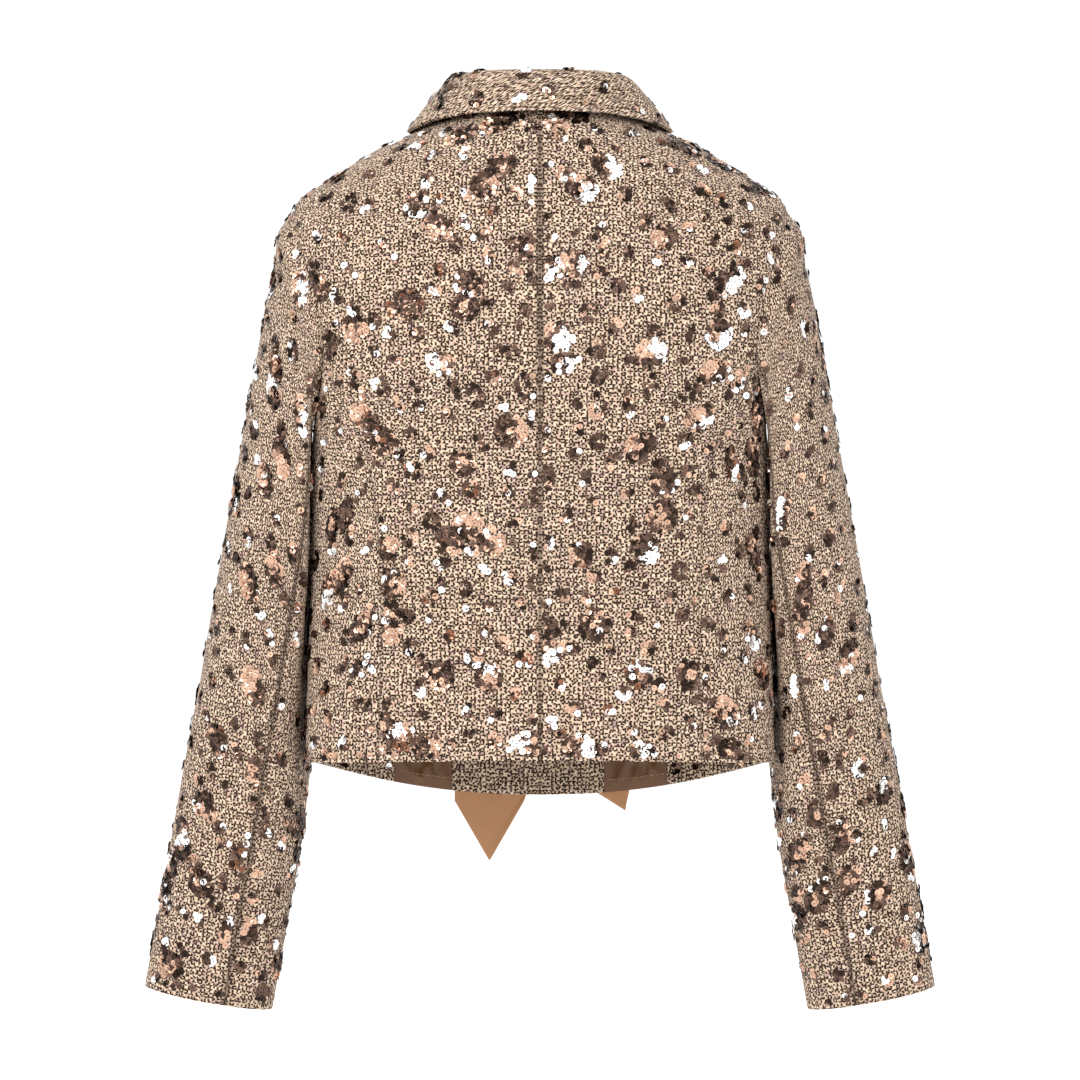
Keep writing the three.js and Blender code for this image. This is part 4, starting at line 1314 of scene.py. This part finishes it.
class BLAZER_OT_stitches(bpy.types.Operator):
    """Rows of small stitches along the lower edge of the lining"""

    bl_idname = "blazer.stitches"
    bl_label = "Stitches"

    def execute(self, context):
        deselect()
        bpy.ops.mesh.primitive_cylinder_add(
            vertices=STITCH["sides"], radius=STITCH["radius"], depth=STITCH["long"],
            rotation=(0, math.pi / 2, 0))
        bpy.ops.object.transform_apply(location=False, rotation=True, scale=False)
        thread = bpy.context.object
        co = np.array([v.co[:] for v in thread.data.vertices])
        faces = [tuple(p.vertices) for p in thread.data.polygons]
        bpy.data.objects.remove(thread, do_unlink=True)
        for name, (points, outside) in LININGS.items():
            self.sew(context, name, points, outside, co, faces)
        return {"FINISHED"}

    def sew(self, context, name, points, outside, co, faces):
        up = arc_lengths(points, 0)
        row = float(np.interp(STITCH["up"], up[:, 0], np.arange(len(points))))
        line = np.array([grid_at(points, (row, j)) for j in range(points.shape[1])])
        far = np.concatenate([[0], np.cumsum(np.linalg.norm(np.diff(line, axis=0), axis=1))])
        normals = grid_normals(points) * outside
        verts, polygons = [], []
        for k, place in enumerate(np.arange(STITCH["step"], far[-1] - STITCH["step"] / 2, STITCH["step"])):
            j = float(np.interp(place, far, np.arange(len(far))))
            middle = grid_at(points, (row, j))
            ahead = unit(grid_at(points, (row, j + 0.5)) - middle)
            normal = square_to(grid_at(normals, (row, j)), ahead)
            side = np.cross(normal, ahead)
            polygons.extend(tuple(v + k * len(co) for v in face) for face in faces)
            verts.append(MM * (middle + co[:, :1] * ahead + co[:, 1:2] * side
                               + (co[:, 2:] + STITCH["radius"] * STITCH["raised"]) * normal))
        small_parts(context, f"stitches_{name}", verts, polygons, ribbon(context))


class BLAZER_OT_sequins(bpy.types.Operator):
    """Groups and flowers of cup sequins sewn on the tweed"""

    bl_idname = "blazer.sequins"
    bl_label = "Sequins"

    def execute(self, context):
        settings = context.scene.blazer_sequins
        colours = context.scene.blazer_colours
        cup, faces = self.one_sequin(settings)
        finish = material("cup_sequins", sequin_material)
        for k, (name, (points, outside)) in enumerate(PANELS.items()):
            rng = np.random.default_rng(settings.seed + k)
            sparser = COLLAR_SPACING if name.startswith("collar") else 1.0
            places = self.group_places(points, settings, rng, sparser)
            if len(places) == 0:
                continue
            self.sew(context, name, points, outside, places, cup, faces, finish, colours, rng)
        return {"FINISHED"}

    def one_sequin(self, settings):
        """A closed cup of eight sides: its rim, its inner ring, its middle and its underside"""
        deselect()
        bpy.ops.mesh.primitive_circle_add(
            vertices=SEQUIN_SIDES, radius=settings.radius, fill_type="NGON")
        obj = bpy.context.object
        bpy.ops.object.mode_set(mode="EDIT")
        bpy.ops.mesh.select_all(action="SELECT")
        bpy.ops.mesh.inset(thickness=settings.radius * INNER_RING["inset"],
                           depth=-settings.cup * INNER_RING["down"])
        bpy.ops.object.mode_set(mode="OBJECT")
        mesh = obj.data
        co = np.array([v.co[:] for v in mesh.vertices])
        polygons = [tuple(p.vertices) for p in mesh.polygons]
        rim = sorted(range(len(co)), key=lambda k: -np.hypot(co[k, 0], co[k, 1]))[:SEQUIN_SIDES]
        rim.sort(key=lambda k: math.atan2(co[k, 1], co[k, 0]))
        middle, below = len(co), len(co) + 1
        inner = [p for p in polygons if not set(p) & set(rim)]
        kept = [p for p in polygons if set(p) & set(rim)]
        depth = co[inner[0][0], 2]
        co = np.vstack([co, [0, 0, depth], [0, 0, depth - settings.cup * INNER_RING["under"]]])
        step = [(k, (k + 1) % SEQUIN_SIDES) for k in range(SEQUIN_SIDES)]
        fan = [(inner[0][a], inner[0][b], middle) for a, b in step]
        under = [(rim[b], rim[a], below) for a, b in step]
        bpy.data.objects.remove(obj, do_unlink=True)
        return co, kept + fan + under

    def group_places(self, points, settings, rng, sparser=1.0):
        """Grid places of the groups, no two nearer than the spacing"""
        rows, columns = points.shape[:2]
        flat = points[:-1, :-1]
        a, b = points[1:, :-1] - flat, points[:-1, 1:] - flat
        area = np.linalg.norm(np.cross(a, b), axis=-1)
        share = np.cumsum(area.reshape(-1)) / area.sum()
        tries = int(area.sum() / (settings.spacing / MM) ** 2 * GROUP_TRIES)
        cells = np.searchsorted(share, rng.random(tries))
        found, kept = [], []
        for cell in cells:
            place = np.array([cell // (columns - 1), cell % (columns - 1)]) + rng.random(2)
            where = grid_at(points, place)
            limit = settings.spacing / MM * rng.uniform(GROUPS_NEARER, GROUPS_FURTHER) * sparser
            if all(np.sum((where - other) ** 2) > limit ** 2 for other in kept):
                found.append(place)
                kept.append(where)
        return found

    def group(self, settings, rng):
        """Offsets and lifts of the sequins of one group, in millimetres, and the group's kind"""
        shares = GROUP_SHARES
        kind = rng.choice(["flower", "arc", "clump", "pair"], p=[
            settings.flowers, shares["arc"], shares["clump"] - settings.flowers, shares["pair"]])
        offsets = []
        if kind == "flower":
            rim = rng.uniform(*FLOWER["rim"])
            for far, gap in [(rim - inner, gap) for inner, gap in FLOWER["rings"]] + [FLOWER["heart"]]:
                count = max(int(math.tau * far / gap), 1)
                start = rng.uniform(0, math.tau)
                for k in range(count):
                    if rng.random() < FLOWER["missing"]:
                        continue
                    turn = start + math.tau * k / count + rng.normal(0, FLOWER["turn"])
                    out = max(far + rng.normal(0, FLOWER["out"]), 0)
                    offsets.append(polar(out, turn, FLOWER["low"] + FLOWER["rise"] * (rim - out)))
            return offsets, kind
        if kind == "arc":
            far = rng.uniform(*ARC["far"])
            start, reach = rng.uniform(0, math.tau), rng.uniform(*ARC["reach"])
            count = int(far * reach / ARC["gap"]) + 2
            for k in range(count):
                turn = start + reach * k / (count - 1)
                out = far + rng.normal(0, ARC["out"])
                offsets.append(polar(out, turn, ARC["low"] + ARC["vary"] * rng.random()))
            if rng.random() < ARC["filled"]:
                offsets.append((rng.normal(0, 1), rng.normal(0, 1), ARC["filling"]))
            return offsets, kind
        count = int(rng.integers(*CLUMP["counts"][kind]))
        offsets.append((0.0, 0.0, CLUMP["first"]))
        while len(offsets) < count:
            near = offsets[int(rng.integers(len(offsets)))]
            turn = rng.uniform(0, math.tau)
            step = settings.radius / MM * rng.uniform(*CLUMP["step"])
            dx, dy, lift = polar(step, turn, CLUMP["low"] + CLUMP["vary"] * rng.random())
            offsets.append((near[0] + dx, near[1] + dy, lift))
        return offsets, kind

    def tints(self, offsets, kind, colours, rng):
        """A colour for each sequin: mostly bronze, rosy towards one side, painted near white glints towards
        another, and a few painted orange brown reflections
        """
        bronze, rose, painted_glint, painted_warm_glint = (
            np.array(getattr(colours, name)) for name in ("bronze", "rose", "painted_glint", "painted_warm_glint"))
        partly = rng.random() > ROSE["wholly"]
        rosy = rng.uniform(0, 1) ** ROSE["power"] * ROSE["most"] if partly else ROSE["whole"]
        # Painted glints: the share and side of near white sequins that stand in for caught light
        glint_share = rng.uniform(0, 1) ** PAINTED_GLINT["power"] * PAINTED_GLINT["most"]
        # Painted reflection: chance of an orange brown sequin that stands in for a warm glint
        warm_glint_chance = PAINTED_WARM_GLINT["many"] if rng.random() < PAINTED_WARM_GLINT["group"] else PAINTED_WARM_GLINT["few"]
        rosy_side, glint_side = rng.normal(*ROSE["side"]), rng.normal(*PAINTED_GLINT["side"])
        heart = kind == "flower" and rng.random() < HEART["flowers"]
        result = []
        for dx, dy, _ in offsets:
            turn = math.atan2(dy, dx)
            own = bronze * (BRONZE["low"] + BRONZE["vary"] * rng.random() ** BRONZE["power"])
            if rng.random() < rosy * facing(turn, rosy_side) ** 2:
                own = rose * rng.uniform(*ROSE["shade"])
            if heart and math.hypot(dx, dy) < HEART["within"] and rng.random() < HEART["chance"]:
                own = rose * rng.uniform(*HEART["shade"])
            # Painted highlight: the sequin is painted near white, as if catching the light
            if rng.random() < glint_share * facing(turn, glint_side) ** 3:
                own = painted_glint
            if rng.random() < warm_glint_chance:
                own = painted_warm_glint * rng.uniform(*PAINTED_WARM_GLINT["shade"])
            result.append(np.clip(own, 0, 1))
        return result

    def sew(self, context, name, points, outside, places, cup, faces, finish, colours, rng):
        settings = context.scene.blazer_sequins
        rows, columns = points.shape[:2]
        normals = grid_normals(points) * outside
        across = np.linalg.norm(np.gradient(points, axis=1), axis=-1)
        along = np.linalg.norm(np.gradient(points, axis=0), axis=-1)
        over, up = arc_lengths(points, 1), arc_lengths(points, 0)
        inside = np.minimum(np.minimum(over, over[:, -1:] - over), np.minimum(up, up[-1:] - up))
        margin = settings.radius / MM
        verts, polygons, tint_rows = [], [], []
        share = np.minimum(np.hypot(cup[:, 0], cup[:, 1]) / settings.radius, 1)
        for place in places:
            offsets, kind = self.group(settings, rng)
            tints = self.tints(offsets, kind, colours, rng)
            i, j = int(place[0]), int(place[1])
            for (dx, dy, lift), tint in zip(offsets, tints):
                own = place + np.array([dy / along[i, j], dx / across[i, j]])
                if not (0.3 < own[0] < rows - 1.3 and 0.3 < own[1] < columns - 1.3):
                    continue
                a, b = int(own[0]), int(own[1])
                if inside[a:a + 2, b:b + 2].min() < margin:
                    continue
                normal = normals[a, b]
                middle = grid_at(points, own) + normal * lift
                tangent = square_to(points[a, b + 1] - points[a, b], normal)
                tilt = rng.normal(0, SEQUIN_TILT, 2)
                normal = unit(normal + tilt[0] * tangent + tilt[1] * np.cross(normal, tangent))
                tangent = square_to(tangent, normal)
                turned = rng.uniform(0, math.tau)
                side = np.cross(normal, tangent)
                ex = math.cos(turned) * tangent + math.sin(turned) * side
                ey = np.cross(normal, ex)
                size = rng.uniform(0.9, 1.1)
                start = len(verts) * len(cup)
                verts.append(middle * MM + size * (cup[:, :1] * ex + cup[:, 1:2] * ey)
                             + cup[:, 2:] * normal + SEQUIN_LIFT * MM * normal)
                polygons.extend(tuple(k + start for k in face) for face in faces)
                tint_rows.append(np.column_stack([np.tile(tint, (len(cup), 1)), share]))
        if not verts:
            return
        mesh = small_parts(context, f"sequins_{name}", verts, polygons, finish)
        layer = mesh.color_attributes.new("sequin_tint", "FLOAT_COLOR", "POINT")
        layer.data.foreach_set("color", np.vstack(tint_rows).astype(np.float32).reshape(-1))


class BLAZER_OT_stage(bpy.types.Operator):
    """Pale floor, soft studio light and the camera"""

    bl_idname = "blazer.stage"
    bl_label = "Stage"

    def execute(self, context):
        stage = context.scene.blazer_stage
        self.floor(stage)
        self.lights()
        self.camera(context, stage)
        return {"FINISHED"}

    def floor(self, stage):
        deselect()
        bpy.ops.mesh.primitive_circle_add(vertices=96, radius=FLOOR_RADIUS, fill_type="NGON",
                                          location=(0, 0, stage.floor))
        obj = bpy.context.object
        obj.name = "studio_floor"
        shader = Shader("studio_floor")
        shader.set(Base_Color=FLOOR_WHITE, Roughness=0.9)
        obj.data.materials.append(shader.material)

    def lights(self):
        for name, place, size, energy in LIGHTS:
            bpy.ops.object.light_add(type="AREA", location=place)
            light = bpy.context.object
            light.name = name
            light.data.energy = energy
            light.data.size = size
            way = np.array(LIT_POINT) - np.array(place)
            yaw = math.atan2(way[1], way[0]) - math.pi / 2
            tilt = math.atan2(math.hypot(way[0], way[1]), -way[2])
            light.rotation_euler = (tilt, 0, yaw)
        world = bpy.data.worlds.new("studio")
        world.use_nodes = True
        world.node_tree.nodes["Background"].inputs[0].default_value = (1, 1, 1, 1)
        world.node_tree.nodes["Background"].inputs[1].default_value = WORLD_LIGHT
        bpy.context.scene.world = world
        bpy.context.scene.view_settings.view_transform = "Standard"

    def camera(self, context, stage):
        bpy.ops.object.camera_add(location=(0, -stage.distance, stage.eye), rotation=(math.pi / 2, 0, 0))
        camera = bpy.context.object
        camera.name = "camera"
        camera.data.sensor_width = SENSOR
        camera.data.lens = SENSOR * stage.distance / stage.frame_width
        camera.data.shift_y = (stage.frame_middle - stage.eye) / stage.frame_width
        camera.data.clip_end = 100
        context.scene.camera = camera


class BLAZER_PT_sidebar(bpy.types.Panel):
    bl_label = "Blazer"
    bl_idname = "BLAZER_PT_sidebar"
    bl_space_type = "VIEW_3D"
    bl_region_type = "UI"
    bl_category = "Blazer"

    def draw(self, context):
        for group in (context.scene.blazer_cloth, context.scene.blazer_colours,
                      context.scene.blazer_sequins, context.scene.blazer_stage):
            box = self.layout.box()
            for name in group.bl_rna.properties.keys():
                if name not in ("rna_type", "name"):
                    box.prop(group, name)
        for operator in OPERATORS:
            self.layout.operator(operator.bl_idname)


GROUPS = {
    "blazer_cloth": BlazerCloth,
    "blazer_colours": BlazerColours,
    "blazer_sequins": BlazerSequins,
    "blazer_stage": BlazerStage,
}
OPERATORS = (
    BLAZER_OT_stage,
    BLAZER_OT_back,
    BLAZER_OT_fronts,
    BLAZER_OT_sleeves,
    BLAZER_OT_collar,
    BLAZER_OT_lapels,
    BLAZER_OT_inside_hem,
    BLAZER_OT_bow,
    BLAZER_OT_stitches,
    BLAZER_OT_sequins,
)


def register():
    for cls in (*GROUPS.values(), *OPERATORS, BLAZER_PT_sidebar):
        bpy.utils.register_class(cls)
    for name, cls in GROUPS.items():
        setattr(bpy.types.Scene, name, bpy.props.PointerProperty(type=cls))


def unregister():
    for name in GROUPS:
        delattr(bpy.types.Scene, name)
    for cls in reversed((*GROUPS.values(), *OPERATORS, BLAZER_PT_sidebar)):
        bpy.utils.unregister_class(cls)


def main():
    register()
    for operator in OPERATORS:
        family, name = operator.bl_idname.split(".")
        getattr(getattr(bpy.ops, family), name)()


if __name__ == "__main__":
    main()
